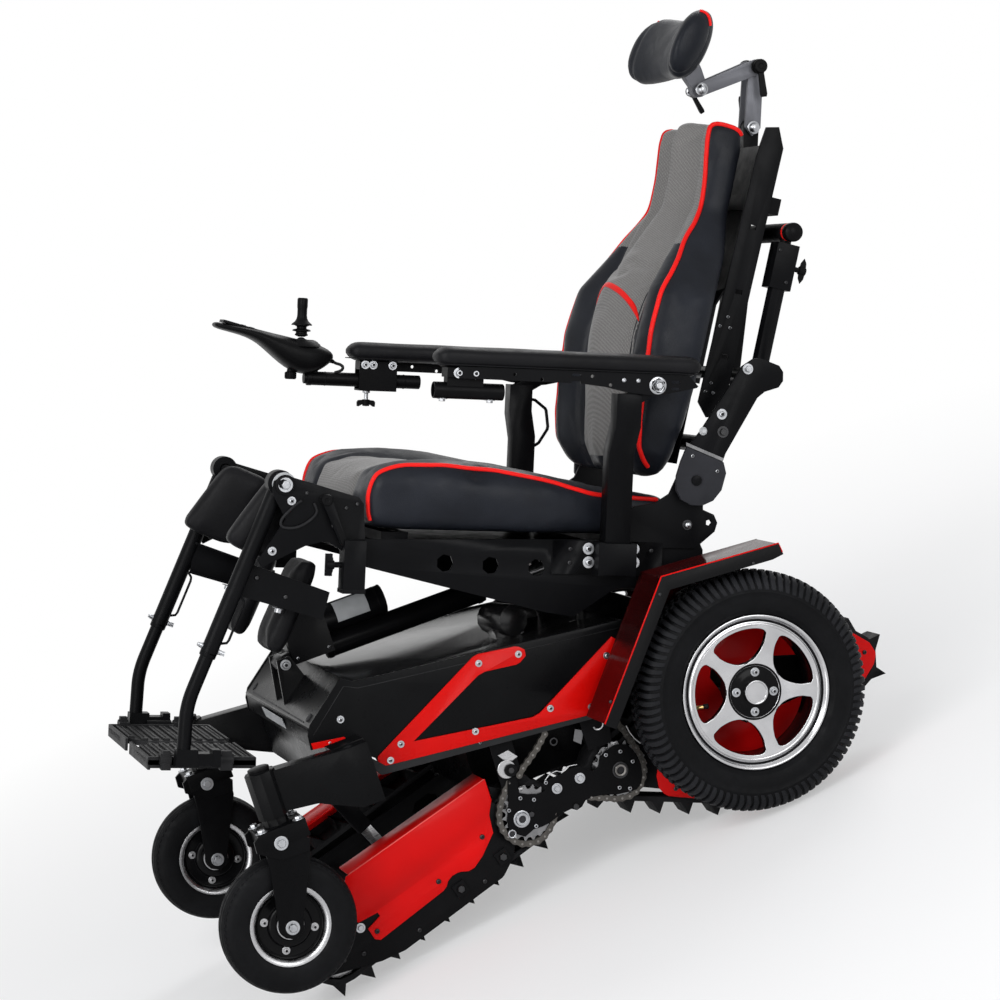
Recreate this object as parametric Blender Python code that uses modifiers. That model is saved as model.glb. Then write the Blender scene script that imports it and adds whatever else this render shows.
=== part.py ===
"""Stair climbing wheelchair, modelled in metres with +Z up.

The chair faces -Y and its left side is +X. It stands on its four lugged track belts, as on a
landing, so its drive wheels and casters hang just clear of the floor. Everything is modelled in
the chassis frame first, whose origin is on the wheel-mode floor below the drive axle, and the
root empty then pitches and lifts the whole chair onto its tracks.
"""

import math

import bmesh
import bpy
from mathutils import Matrix, Vector

# Driving dimensions, in metres and degrees. Pairs are (y, z) in the frame named.
WHEEL_R = 0.1785            # drive wheel radius over the tread
WHEEL_X = 0.290             # drive wheel centre plane
AXLE = (0.000, 0.1785)      # drive axle, chassis frame
CASTER_R = 0.100
CASTER_X = 0.2735
CASTER_AXLE = (-0.754, 0.100)
STEM_Y = -0.724             # caster swivel axis
SKIRT_X = 0.222             # outer face of the side skirts
BELT_X = (0.150, 0.200)     # inner and outer edge of each belt
BELT_T = 0.008              # belt thickness
LUG_H = 0.018               # lug height over the belt
LUG_PITCH = 0.0455
SPROCKET_R = 0.040          # inner radius of the belt on its sprockets
FRONT_HUB = (-0.355, 0.105)     # front sprocket and front track pivot
FRONT_TRACK_PITCH = 15.5        # front track points down by this much
FRONT_REACH = 0.3477            # front hub to toe idler
REAR_HUB = (-0.203, 0.116)      # rear sprocket and rear track pivot
REAR_LOW = (-0.050, 0.035)      # lower roller of the rear track
REAR_END = (0.195, 0.140)       # rear idler
REAR_TOP = (0.050, 0.225)       # upper guide roller, which lifts the belt over the drive axle
SEAT_PIVOT = (-0.140, 0.350)    # seat tilt axis, chassis frame
SEAT_PITCH = -20.9
BACK_PIVOT = (0.111, 0.194)     # recline axis, seat frame
BACK_PITCH = -10.1
LEG_PIVOT = (-0.507, 0.170)     # legrest axis, seat frame
LEG_PITCH = -20.8
GAP = 0.0003                # gap left between neighbouring pieces

COLLECTION = "stair_climbing_wheelchair"


def clear_scene():
    for obj in list(bpy.data.objects):
        bpy.data.objects.remove(obj, do_unlink=True)


def collection(name):
    found = bpy.data.collections.get(name)
    if found is None:
        found = bpy.data.collections.new(name)
        bpy.context.scene.collection.children.link(found)
    return found


def material(name, colour, roughness, metallic=0.0):
    found = bpy.data.materials.get(name)
    if found is None:
        found = bpy.data.materials.new(name)
        found.use_nodes = True
        shader = found.node_tree.nodes["Principled BSDF"]
        shader.inputs["Base Color"].default_value = (*colour, 1.0)
        shader.inputs["Roughness"].default_value = roughness
        shader.inputs["Metallic"].default_value = metallic
        found.diffuse_color = (*colour, 1.0)
    return found


def pivot(name, parent, x, point, pitch=0.0, turn=0.0):
    """An empty at (x, y, z) in its parent, pitched about X and turned about Z, in degrees."""
    empty = bpy.data.objects.new(name, None)
    empty.empty_display_size = 0.05
    empty.location = (x, point[0], point[1])
    empty.rotation_euler = (math.radians(pitch), 0.0, math.radians(turn))
    empty.parent = parent
    collection(COLLECTION).objects.link(empty)
    return empty


def from_mesh(mesh):
    obj = bpy.data.objects.new("piece", mesh)
    collection(COLLECTION).objects.link(obj)
    return obj


def from_bmesh(bm):
    mesh = bpy.data.meshes.new("piece")
    bm.to_mesh(mesh)
    bm.free()
    return from_mesh(mesh)


def bake(obj):
    """Turns an object with a curve or modifiers into one with a plain, welded mesh."""
    bpy.context.view_layer.update()
    graph = bpy.context.evaluated_depsgraph_get()
    mesh = bpy.data.meshes.new_from_object(obj.evaluated_get(graph))
    bm = bmesh.new()
    bm.from_mesh(mesh)
    bmesh.ops.remove_doubles(bm, verts=bm.verts, dist=0.00001)
    bmesh.ops.recalc_face_normals(bm, faces=bm.faces)
    bm.to_mesh(mesh)
    bm.free()
    if obj.type == "MESH":
        obj.modifiers.clear()
        obj.data = mesh
        return obj
    baked = from_mesh(mesh)
    baked.matrix_world = obj.matrix_world
    bpy.data.objects.remove(obj, do_unlink=True)
    return baked


def place(obj, matrix):
    obj.data.transform(matrix)
    if matrix.determinant() < 0:
        obj.data.flip_normals()
    return obj


def copy_of(obj, matrix=None):
    """A copy of a piece, moved by a matrix, mirrored ones included."""
    twin = from_mesh(obj.data.copy())
    return place(twin, matrix or Matrix.Identity(4))


def mirrored(obj):
    return copy_of(obj, Matrix.Scale(-1.0, 4, (1.0, 0.0, 0.0)))


def pair(name, left, look, frames, smooth=False):
    """A left piece and its mirror image on the right, each on its own frame."""
    right = mirrored(left)
    part(f"{name}_left", left, look, frames[0], smooth)
    part(f"{name}_right", right, look, frames[1], smooth)


def box(x, y, z):
    """A box from three (low, high) pairs."""
    bm = bmesh.new()
    bmesh.ops.create_cube(bm, size=1.0)
    size = Matrix.Diagonal((x[1] - x[0], y[1] - y[0], z[1] - z[0], 1.0))
    centre = Matrix.Translation((sum(x) / 2, sum(y) / 2, sum(z) / 2))
    bmesh.ops.transform(bm, matrix=centre @ size, verts=bm.verts)
    return from_bmesh(bm)


def rod(start, end, radius, sides=16, end_radius=None):
    """A cylinder or cone between two (x, y, z) points."""
    start = Vector(start)
    end = Vector(end)
    run = end - start
    bm = bmesh.new()
    bmesh.ops.create_cone(bm, cap_ends=True, segments=sides, radius1=radius,
                          radius2=radius if end_radius is None else end_radius, depth=run.length)
    turn = run.to_track_quat("Z", "Y").to_matrix().to_4x4()
    bmesh.ops.transform(bm, matrix=Matrix.Translation((start + end) / 2) @ turn, verts=bm.verts)
    return from_bmesh(bm)


def axle(point, x, radius, sides=10):
    """A cylinder along X at (y, z), between two x values."""
    return rod((x[0], *point), (x[1], *point), radius, sides)


def circle(point, radius, sides=10):
    return [(point[0] + radius * math.cos(2 * math.pi * k / sides),
             point[1] + radius * math.sin(2 * math.pi * k / sides)) for k in range(sides)]


def rounded(points, radius, steps=3):
    """The outline with each corner turned into an arc. The radius can be one per corner."""
    ring = []
    for i, corner in enumerate(points):
        size = radius[i] if isinstance(radius, (list, tuple)) else radius
        corner = Vector(corner)
        back = Vector(points[i - 1]) - corner
        ahead = Vector(points[(i + 1) % len(points)]) - corner
        half = back.angle(ahead) / 2
        if size <= 0 or half > 1.5:
            ring.append(tuple(corner))
            continue
        cut = min(size / math.tan(half), 0.45 * back.length, 0.45 * ahead.length)
        size = cut * math.tan(half)
        centre = corner + (back.normalized() + ahead.normalized()).normalized() * size / math.sin(half)
        first = corner + back.normalized() * cut - centre
        last = corner + ahead.normalized() * cut - centre
        begin = math.atan2(first.y, first.x)
        sweep = (math.atan2(last.y, last.x) - begin + math.pi) % (2 * math.pi) - math.pi
        for k in range(steps + 1):
            angle = begin + sweep * k / steps
            ring.append((centre.x + size * math.cos(angle), centre.y + size * math.sin(angle)))
    return ring


def strip(path, thickness):
    """The outline of a sheet of constant thickness along an open path, on its left side."""
    path = [Vector(p) for p in path]
    other = []
    for i, point in enumerate(path):
        before = (point - path[i - 1]).normalized() if i else (path[1] - point).normalized()
        after = (path[i + 1] - point).normalized() if i + 1 < len(path) else before
        along = (before + after).normalized()
        normal = Vector((-along.y, along.x))
        other.append(point + normal * thickness / max(0.3, along.dot(before)))
    return [tuple(p) for p in path] + [tuple(p) for p in reversed(other)]


AXES = {
    "X": ((0, 0, 1), (1, 0, 0), (0, 1, 0)),     # outline in (y, z)
    "Y": ((1, 0, 0), (0, 0, -1), (0, 1, 0)),    # outline in (x, z)
    "Z": ((1, 0, 0), (0, 1, 0), (0, 0, 1)),     # outline in (x, y)
}


def plate(outline, span, windows=(), axis="X"):
    """A flat plate: an outline with windows, extruded across the span along one axis."""
    curve = bpy.data.curves.new("outline", "CURVE")
    curve.dimensions = "2D"
    curve.fill_mode = "BOTH"
    curve.extrude = abs(span[1] - span[0]) / 2
    for ring in (outline, *windows):
        spline = curve.splines.new("POLY")
        spline.points.add(len(ring) - 1)
        for point, (u, v) in zip(spline.points, ring):
            point.co = (u, v, 0.0, 1.0)
        spline.use_cyclic_u = True
    obj = bpy.data.objects.new("plate", curve)
    collection(COLLECTION).objects.link(obj)
    obj = bake(obj)
    turn = Matrix(AXES[axis]).to_4x4()
    middle = [sum(span) / 2 if name == axis else 0.0 for name in "XYZ"]
    return place(obj, Matrix.Translation(middle) @ turn)


def bar(start, end, width, x):
    """A straight flat bar between two (y, z) points, with square ends."""
    start = Vector(start)
    end = Vector(end)
    along = (end - start).normalized()
    side = Vector((-along.y, along.x)) * width / 2
    return plate([tuple(start + side), tuple(start - side), tuple(end - side), tuple(end + side)], x)


def link_outline(start, end, start_r, end_r, steps=6):
    """A link with round ends: two circles and their outer tangents."""
    start = Vector(start)
    end = Vector(end)
    run = end - start
    lean = math.acos((start_r - end_r) / run.length)
    heading = math.atan2(run.y, run.x)
    ring = []
    for k in range(steps + 1):
        angle = heading + lean + (2 * math.pi - 2 * lean) * k / steps
        ring.append((start.x + start_r * math.cos(angle), start.y + start_r * math.sin(angle)))
    for k in range(steps + 1):
        angle = heading - lean + 2 * lean * k / steps
        ring.append((end.x + end_r * math.cos(angle), end.y + end_r * math.sin(angle)))
    return ring


def tube(points, radius, resolution=2):
    """A round tube along (x, y, z) points, with filled ends."""
    curve = bpy.data.curves.new("path", "CURVE")
    curve.dimensions = "3D"
    curve.bevel_depth = radius
    curve.bevel_resolution = resolution
    curve.use_fill_caps = True
    spline = curve.splines.new("POLY")
    spline.points.add(len(points) - 1)
    for point, place_at in zip(spline.points, points):
        point.co = (*place_at, 1.0)
    obj = bpy.data.objects.new("tube", curve)
    collection(COLLECTION).objects.link(obj)
    return bake(obj)


def bent(points, radius, steps=4):
    """The path with its inner corners turned into arcs, in three dimensions."""
    path = [Vector(points[0])]
    for i in range(1, len(points) - 1):
        corner = Vector(points[i])
        back = Vector(points[i - 1]) - corner
        ahead = Vector(points[i + 1]) - corner
        cut = min(radius, 0.45 * back.length, 0.45 * ahead.length)
        first = corner + back.normalized() * cut
        last = corner + ahead.normalized() * cut
        for k in range(steps + 1):
            t = k / steps
            path.append(first * (1 - t) ** 2 + corner * 2 * t * (1 - t) + last * t ** 2)
    path.append(Vector(points[-1]))
    return [tuple(p) for p in path]


def turned(profile, centre, steps, closed=True):
    """A profile of (radius, along) points turned about the X axis through centre (x, y, z)."""
    mesh = bpy.data.meshes.new("profile")
    edges = [(i, i + 1) for i in range(len(profile) - 1)]
    if closed:
        edges.append((len(profile) - 1, 0))
    mesh.from_pydata([(r, 0.0, a) for r, a in profile], edges, [])
    obj = from_mesh(mesh)
    screw = obj.modifiers.new("turn", "SCREW")
    screw.steps = steps
    screw.render_steps = steps
    screw.use_merge_vertices = True
    screw.merge_threshold = 0.00005
    obj = bake(obj)
    turn = Matrix(((0, 0, 1), (1, 0, 0), (0, 1, 0))).to_4x4()
    return place(obj, Matrix.Translation(centre) @ turn)


def boolean(obj, tools, operation):
    for tool in tools:
        step = obj.modifiers.new("step", "BOOLEAN")
        step.operation = operation
        step.solver = "EXACT"
        step.object = tool
        obj = bake(obj)
        bpy.data.objects.remove(tool, do_unlink=True)
    return obj


def fuse(*pieces):
    return boolean(pieces[0], pieces[1:], "UNION")


def cut(obj, *cutters):
    return boolean(obj, cutters, "DIFFERENCE")


def eased(obj, width, segments=1, angle=40.0):
    """Small rounded edges."""
    bevel = obj.modifiers.new("edges", "BEVEL")
    bevel.width = width
    bevel.segments = segments
    bevel.limit_method = "ANGLE"
    bevel.angle_limit = math.radians(angle)
    bevel.use_clamp_overlap = True
    return bake(obj)


def flat_faces(obj, angle=0.3):
    """Joins the flat triangles that cuts and unions leave behind."""
    bm = bmesh.new()
    bm.from_mesh(obj.data)
    bmesh.ops.dissolve_limit(bm, angle_limit=math.radians(angle), verts=bm.verts, edges=bm.edges)
    bm.to_mesh(obj.data)
    bm.free()
    return obj


def part(name, obj, look, parent, smooth=False):
    """Names a finished piece, gives it its material and hangs it on its frame."""
    obj.name = name
    obj.data.name = name
    obj.data.materials.clear()
    obj.data.materials.append(look)
    if smooth:
        obj.data.shade_smooth()
        obj.data.set_sharp_from_angle(angle=math.radians(38))
    obj.parent = parent
    return obj


def looks():
    """The colours of the chair, one material for each kind of surface."""
    return {
        "skirt": material("skirt_black", (0.018, 0.018, 0.020), 0.45, 0.3),
        "deck": material("deck_grey", (0.045, 0.045, 0.048), 0.5, 0.3),
        "red": material("trim_red", (0.62, 0.012, 0.015), 0.28, 0.2),
        "fender": material("fender_red", (0.33, 0.012, 0.016), 0.22, 0.1),
        "bracket": material("bracket_black", (0.012, 0.012, 0.013), 0.5, 0.4),
        "battery": material("battery_grey", (0.07, 0.07, 0.075), 0.6),
        "motor": material("motor_dark", (0.10, 0.10, 0.105), 0.4, 0.7),
        "rim": material("rim_grey", (0.32, 0.33, 0.34), 0.35, 0.6),
        "tyre": material("tyre_rubber", (0.022, 0.022, 0.024), 0.85),
        "fork": material("fork_black", (0.015, 0.015, 0.016), 0.4, 0.5),
        "caster": material("caster_wheel", (0.05, 0.05, 0.053), 0.7),
        "track": material("track_plate", (0.055, 0.055, 0.058), 0.5, 0.5),
        "belt": material("belt_rubber", (0.035, 0.035, 0.037), 0.8),
        "steel": material("bright_steel", (0.55, 0.56, 0.58), 0.3, 1.0),
        "seat": material("seat_frame", (0.020, 0.020, 0.022), 0.45, 0.4),
        "fabric": material("cushion_fabric", (0.030, 0.030, 0.033), 0.9),
        "pad": material("pad_vinyl", (0.014, 0.014, 0.015), 0.6),
        "link": material("link_grey", (0.25, 0.25, 0.26), 0.35, 0.8),
        "actuator": material("actuator_grey", (0.16, 0.165, 0.17), 0.4, 0.6),
        "plastic": material("black_plastic", (0.014, 0.014, 0.015), 0.4),
        "gloss": material("gloss_knob", (0.008, 0.008, 0.008), 0.15),
    }


# Side skirt, chassis frame: nose, top edge back to the seat pivot, and the lower edge.
SKIRT = [(-0.635, 0.312), (-0.632, 0.342), (-0.562, 0.396), (-0.546, 0.385), (-0.533, 0.383),
         (-0.127, 0.329), (-0.150, 0.215), (-0.215, 0.206), (-0.545, 0.242), (-0.549, 0.267),
         (-0.569, 0.284), (-0.582, 0.3045)]
LIFT_TOP = (-0.597, 0.212)      # upper pivot of the lift strut
TILT_NOSE = (-0.598, 0.406)     # front pivot of the tilt actuator


def chassis(look, frame):
    skirt = rounded(SKIRT, [0, 0.02, 0, 0, 0, 0.006, 0.012, 0.02, 0, 0, 0, 0], 1)
    body = plate(skirt, (SKIRT_X - 0.004, SKIRT_X))
    other = mirrored(body)
    wide = (-SKIRT_X + 0.002, SKIRT_X - 0.002)
    belly = [(-0.1465, 0.246), (-0.52, 0.2835), (-0.5675, 0.2875), (-0.5815, 0.3075),
             (-0.6330, 0.3152), (-0.6300, 0.3410), (-0.5600, 0.3945)]
    belly = plate(strip(belly[::-1], 0.003), wide)
    rear = plate(strip([(-0.1305, 0.327), (-0.1515, 0.232)][::-1], 0.003), wide)
    shell = fuse(body, belly, other, rear)

    # Front cross beam with the two tapered caster arms and their stem housings.
    beam = box((-0.262, 0.262), (-0.615, -0.565), (0.230, 0.3110))
    arm = [(-0.566, 0.3090), (-0.566, 0.2200), (-0.600, 0.2210), (-0.660, 0.2500), (-0.712, 0.2570),
           (-0.726, 0.2570), (-0.726, 0.3160), (-0.712, 0.3180), (-0.600, 0.3090)]
    arm = plate(arm, (CASTER_X - 0.020, CASTER_X + 0.012))
    housing = rod((CASTER_X, STEM_Y, 0.2535), (CASTER_X, STEM_Y, 0.3210), 0.0225, 9)
    cap = rod((CASTER_X, STEM_Y, 0.3200), (CASTER_X, STEM_Y, 0.3270), 0.0150, 7)
    arm = fuse(arm, housing, cap)
    shell = fuse(shell, beam, mirrored(arm), arm)

    # Drive tub between the tracks, with the battery bay open below and a bore for each motor.
    tub = rounded([(-0.400, 0.285), (-0.400, 0.131), (0.078, 0.131), (0.092, 0.148),
                   (0.092, 0.210), (0.060, 0.232), (-0.138, 0.243), (-0.138, 0.285)], 0.003, 1)
    tub = plate(tub, (-0.130, 0.130))
    bay = box((-0.1225, 0.1225), (-0.3865, -0.0785), (0.120, 0.2265))
    bores = [axle(AXLE, (side * 0.020, side * 0.150), 0.0430, 12) for side in (1, -1)]
    tub = cut(tub, bay, *bores)
    shell = fuse(shell, tub)

    # Seat pivot cheeks, and the beam over the tracks that carries both fenders.
    cheek = [(-0.180, 0.235), (-0.180, 0.300), (-0.155, 0.3660), (-0.125, 0.3660),
             (-0.066, 0.326), (-0.066, 0.235)]
    for low, high in ((0.110, 0.118), (-0.118, -0.110)):
        hole = circle(SEAT_PIVOT, 0.0090, 8)
        shell = fuse(shell, plate(cheek, (low, high), [hole]))
    shell = fuse(shell, box((-0.2447, 0.2447), (-0.092, -0.062), (0.3000, 0.3240)))

    # Ears for the lift strut below the front beam, and for the tilt actuator on the nose.
    ear = [(-0.614, 0.245), (-0.606, 0.199), (-0.588, 0.199), (-0.580, 0.245)]
    hook = [(-0.622, 0.330), (-0.609, 0.4165), (-0.588, 0.4165), (-0.572, 0.370),
            (-0.585, 0.330)]
    for low, high in ((0.0140, 0.0190), (-0.0190, -0.0140)):
        hole = circle(LIFT_TOP, 0.0064, 6)
        shell = fuse(shell, plate(ear, (low, high), [hole]))
    for low, high in ((0.0240, 0.0290), (-0.0290, -0.0240)):
        hole = circle(TILT_NOSE, 0.0064, 6)
        shell = fuse(shell, plate(hook, (low, high), [hole]))
    part("chassis_frame", flat_faces(shell), look["skirt"], frame)

    # Deck between the skirts, bent down at the nose, with the mast block below the seat.
    deck = plate(strip([(-0.1345, 0.3266), (-0.533, 0.3795), (-0.5560, 0.3900)], 0.003),
                 (-SKIRT_X + 0.0043, SKIRT_X - 0.0043))
    for side in (1, -1):
        slot = box(sorted((side * 0.1095, side * 0.1185)), (-0.1815, -0.1200), (0.300, 0.350))
        deck = cut(deck, slot)
    mast = plate(rounded([(-0.250, 0.340), (-0.244, 0.3720), (-0.196, 0.3640), (-0.196, 0.333)],
                         [0, 0.006, 0.006, 0], 2), (-0.060, 0.000))
    cylinder = rod((0.070, -0.285, 0.3720), (0.140, -0.270, 0.3700), 0.0240, 12)
    saddle = plate([(-0.300, 0.345), (-0.300, 0.362), (-0.256, 0.358), (-0.256, 0.339)],
                   (0.085, 0.125))
    deck = fuse(deck, mast, saddle, cylinder)
    part("top_cover", flat_faces(deck), look["deck"], frame)

    trims(look, frame)
    fenders(look, frame)
    brackets(look, frame)

    battery = box((-0.1219, 0.1219), (-0.3859, -0.0791), (0.1316, 0.2259))
    grip = box((-0.050, 0.050), (-0.300, -0.160), (0.1275, 0.1330))
    hollow = box((-0.042, 0.042), (-0.290, -0.170), (0.1200, 0.1295))
    part("battery_pack", cut(fuse(battery, grip), hollow), look["battery"], frame)


def trims(look, frame):
    """The red wing on each skirt, a blade that forks behind the caster, with round ends."""
    outer = [(-0.551, 0.266), (-0.362, 0.359), (-0.298, 0.349), (-0.283, 0.335),
             (-0.304, 0.323), (-0.362, 0.331), (-0.489, 0.271), (-0.302, 0.240),
             (-0.145, 0.318), (-0.177, 0.263), (-0.221, 0.213), (-0.539, 0.252)]
    radii = [0.004, 0.015, 0.01, 0.006, 0.01, 0.02, 0.0, 0.02, 0.004, 0.02, 0.01, 0.004]
    outer = rounded(outer, radii, 1)
    wing = plate(outer, (SKIRT_X + GAP, SKIRT_X + 0.0028))
    pair("red_trim", flat_faces(wing), look["red"], (frame, frame))


def fenders(look, frame):
    """The angular wheel cover: a bent red sheet with a deep outer flange, on a support plate."""
    sheet = [(0.098, 0.362), (0.095, 0.3775), (-0.090, 0.3920), (-0.236, 0.2185)]
    skin = plate(strip(sheet, 0.003), (0.2450, 0.335))
    flange = [(0.098, 0.360), (0.096, 0.378), (-0.090, 0.3925), (-0.2385, 0.2180),
              (-0.2230, 0.2060), (-0.0830, 0.3700), (0.080, 0.3580)]
    flange = plate(flange, (0.3310, 0.3352))
    inner = [(0.096, 0.3775), (-0.090, 0.3920), (-0.235, 0.2190), (-0.215, 0.2040),
             (-0.1520, 0.2780), (-0.1250, 0.2950), (-0.0550, 0.2950), (-0.0500, 0.3440),
             (0.000, 0.3520), (0.0530, 0.3540), (0.0960, 0.3560)]
    inner = plate(inner, (0.2450, 0.2478))
    cover = fuse(skin, flange, inner)
    pair("fender", flat_faces(cover), look["fender"], (frame, frame))


def brackets(look, frame):
    """The plate beside each pair of tracks that carries both track pivots."""
    outline = [(-0.388, 0.082), (-0.390, 0.096), (-0.383, 0.150), (-0.380, 0.260),
               (-0.345, 0.257), (-0.346, 0.165), (-0.350, 0.142), (-0.320, 0.135),
               (-0.262, 0.150), (-0.247, 0.165), (-0.240, 0.246), (-0.200, 0.242),
               (-0.190, 0.150), (-0.172, 0.112), (-0.167, 0.082), (-0.244, 0.079),
               (-0.287, 0.087), (-0.321, 0.081), (-0.377, 0.071)]
    outline = rounded(outline, [0.009, 0, 0, 0.004, 0.004, 0, 0.009, 0.009, 0, 0.009, 0.006,
                                0.006, 0, 0.009, 0.009, 0.009, 0.009, 0.009, 0.009], 1)
    body = plate(outline, (0.2095, 0.2145))
    for hub in (FRONT_HUB, REAR_HUB):
        body = fuse(body, rod((0.2140, *hub), (0.2200, *hub), 0.0200, 8, 0.0170),
                    rod((0.2190, *hub), (0.2245, *hub), 0.0085, 6))
    for bolt in ((-0.362, 0.240), (-0.222, 0.226)):
        body = fuse(body, rod((0.2140, *bolt), (0.2177, *bolt), 0.0075, 5))
    pair("track_bracket", flat_faces(body), look["bracket"], (frame, frame))


def wheels(look, frame):
    """Motors in the tub, rims with five twin spokes, tyres, and the casters on their forks."""
    half = [(0.1030, 0.0297), (0.1154, 0.0301), (0.1390, 0.0410), (0.1680, 0.0360)]
    tyre = half + [(WHEEL_R, 0.0140), (WHEEL_R, -0.0140)] + [(r, -a) for r, a in reversed(half)]
    ring = [(0.1147, 0.0347), (0.1147, 0.0304), (0.1020, 0.0300), (0.1020, -0.0300),
            (0.1147, -0.0304), (0.1147, -0.0347), (0.0970, -0.0330), (0.0970, 0.0320)]
    motor = axle(AXLE, (0.0205, 0.1325), 0.0410, 12)
    gearbox = axle(AXLE, (0.120, 0.1380), 0.0330, 10)
    shaft = axle(AXLE, (0.130, 0.3100), 0.0120, 9)
    pair("drive_motor", fuse(motor, gearbox, shaft), look["motor"], (frame, frame), True)

    hubs = [pivot(f"drive_wheel_{name}", frame, x, AXLE)
            for name, x in (("left", WHEEL_X), ("right", -WHEEL_X))]
    pair("drive_tyre", turned(tyre, (0, 0, 0), 22), look["tyre"], hubs, True)
    core = axle((0, 0), (-0.0300, 0.0290), 0.0330, 10)
    bore = axle((0, 0), (-0.0600, 0.0210), 0.0130, 9)
    disc = fuse(spoke_disc(), core)
    disc = fuse(disc, axle((0, 0), (0.0280, 0.0350), 0.0225, 9))
    rim = cut(fuse(turned(ring, (0, 0, 0), 22), disc), bore)
    pair("drive_rim", flat_faces(rim), look["rim"], hubs, True)

    swivels = [pivot(f"caster_swivel_{name}", frame, x, (STEM_Y, 0.2500))
               for name, x in (("left", CASTER_X), ("right", -CASTER_X))]
    pair("caster_fork", caster_fork(), look["fork"], swivels)
    low = (CASTER_AXLE[0] - STEM_Y, CASTER_AXLE[1] - 0.2500)
    spins = [pivot(f"caster_spin_{name}", frame_of, 0.0, low)
             for name, frame_of in zip(("left", "right"), swivels)]
    half_ring = [(0.0070, 0.0190), (0.0200, 0.0160), (0.0560, 0.0120), (0.0640, 0.0228),
                 (0.0900, 0.0225)]
    section = half_ring + [(CASTER_R, 0.0)] + [(r, -a) for r, a in reversed(half_ring)]
    pair("caster_wheel", turned(section, (0, 0, 0), 16), look["caster"], spins, True)


def spoke_disc():
    """The wheel disc with five wide windows, which leave five spokes."""
    windows = []
    for k in range(5):
        middle = math.radians(90 + 72 * k)
        ring = [(0.0460, -16.0), (0.0460, 16.0), (0.0860, 27.0), (0.0920, 12.0), (0.0920, -12.0),
                (0.0860, -27.0)]
        windows.append([(r * math.cos(middle + math.radians(a)),
                         r * math.sin(middle + math.radians(a))) for r, a in ring])
    return plate(circle((0, 0), 0.0995, 20), (0.0170, 0.0265), windows)


def caster_fork():
    """The fork in its swivel frame: crown, two tapered legs, stem flange and wheel axle."""
    crown = box((-0.0350, 0.0350), (-0.036, 0.036), (-0.0330, -0.0075))
    flange = rod((0, 0, -0.0090), (0, 0, 0.0032), 0.0190, 8)
    end = (CASTER_AXLE[0] - STEM_Y, CASTER_AXLE[1] - 0.2500)
    leg = [(-0.032, -0.0250), (-0.034, -0.0600), (end[0] - 0.018, end[1] + 0.004)]
    leg += [(end[0] + 0.018 * math.cos(math.radians(a)), end[1] + 0.018 * math.sin(math.radians(a)))
            for a in (215, 270, 325)]
    leg += [(end[0] + 0.018, end[1] + 0.004), (0.028, -0.0600), (0.030, -0.0250)]
    left = plate(leg, (0.0270, 0.0315))
    right = plate(leg, (-0.0315, -0.0270))
    pin = axle(end, (-0.0350, 0.0350), 0.0064, 8)
    return flat_faces(fuse(crown, flange, left, right, pin))


class Loop:
    """The outer face of a belt around circles, listed anticlockwise as (centre, radius)."""

    def __init__(self, circles):
        self.runs = []
        self.length = 0.0
        count = len(circles)
        normals = []
        for i, (centre, radius) in enumerate(circles):
            after, after_r = circles[(i + 1) % count]
            run = Vector(after) - Vector(centre)
            along = run.normalized()
            lean = math.acos((radius - after_r) / run.length)
            normals.append(along * math.cos(lean) + Vector((along.y, -along.x)) * math.sin(lean))
        for i, (centre, radius) in enumerate(circles):
            after, after_r = circles[(i + 1) % count]
            start = Vector(centre) + normals[i] * radius
            end = Vector(after) + normals[i] * after_r
            self.add("line", (end - start).length, start, end, normals[i])
            begin = math.atan2(normals[i].y, normals[i].x)
            following = normals[(i + 1) % count]
            sweep = (math.atan2(following.y, following.x) - begin) % (2 * math.pi)
            self.add("arc", sweep * after_r, Vector(after), after_r, (begin, sweep))

    def add(self, kind, size, *rest):
        self.runs.append((self.length, kind, size, *rest))
        self.length += size

    def at(self, distance):
        """The point and the outward normal at a distance along the loop."""
        distance %= self.length
        for begin, kind, size, first, second, third in reversed(self.runs):
            if distance >= begin:
                share = (distance - begin) / size
                if kind == "line":
                    return first.lerp(second, share), third
                angle = third[0] + third[1] * share
                normal = Vector((math.cos(angle), math.sin(angle)))
                return first + normal * second, normal
        raise ValueError("distance is before the loop")

    def corners(self, step):
        """Distances along the loop: both ends of each run, and steps along each arc."""
        found = []
        for begin, kind, size, _, _, third in self.runs:
            count = 1 if kind == "line" else max(1, round(third[1] / step))
            found += [begin + size * k / count for k in range(count)]
        return found


def belt_outline(circles):
    """Outer and inner outlines of a lugged belt, and the corners of each lug's flat tip."""
    outer = Loop([(centre, radius + BELT_T) for centre, radius in circles])
    inner = Loop(circles)
    lugs = round(outer.length / LUG_PITCH)
    pitch = outer.length / lugs
    ring = []
    tips = []
    for k in range(lugs):
        middle = (k + 0.5) * pitch
        for shift, height in ((-0.0115, 0.0), (0.0035, 1.0), (0.0085, 0.0)):
            point, normal = outer.at(middle + shift)
            ring.append(tuple(point + normal * LUG_H * height))
            if height == 1.0:
                tips.append(ring[-1])
        for distance in outer.corners(math.radians(30)):
            after = (distance - middle - 0.0085) % outer.length
            if 0.003 < after < pitch - 0.0235:
                ring.append(tuple(outer.at(distance)[0]))
    window = [tuple(inner.at(distance)[0]) for distance in inner.corners(math.radians(26))]
    return ring, window, tips


FRONT_LOOP = [((0.0, 0.0), SPROCKET_R), ((-FRONT_REACH, 0.0), SPROCKET_R)]


def module_point(point):
    """A chassis frame point in the rear track frame."""
    return (point[0] - REAR_HUB[0], point[1] - REAR_HUB[1])


REAR_LOOP = [((0.0, 0.0), SPROCKET_R), (module_point(REAR_LOW), 0.024),
             (module_point(REAR_END), SPROCKET_R), (module_point(REAR_TOP), 0.026)]


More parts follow.
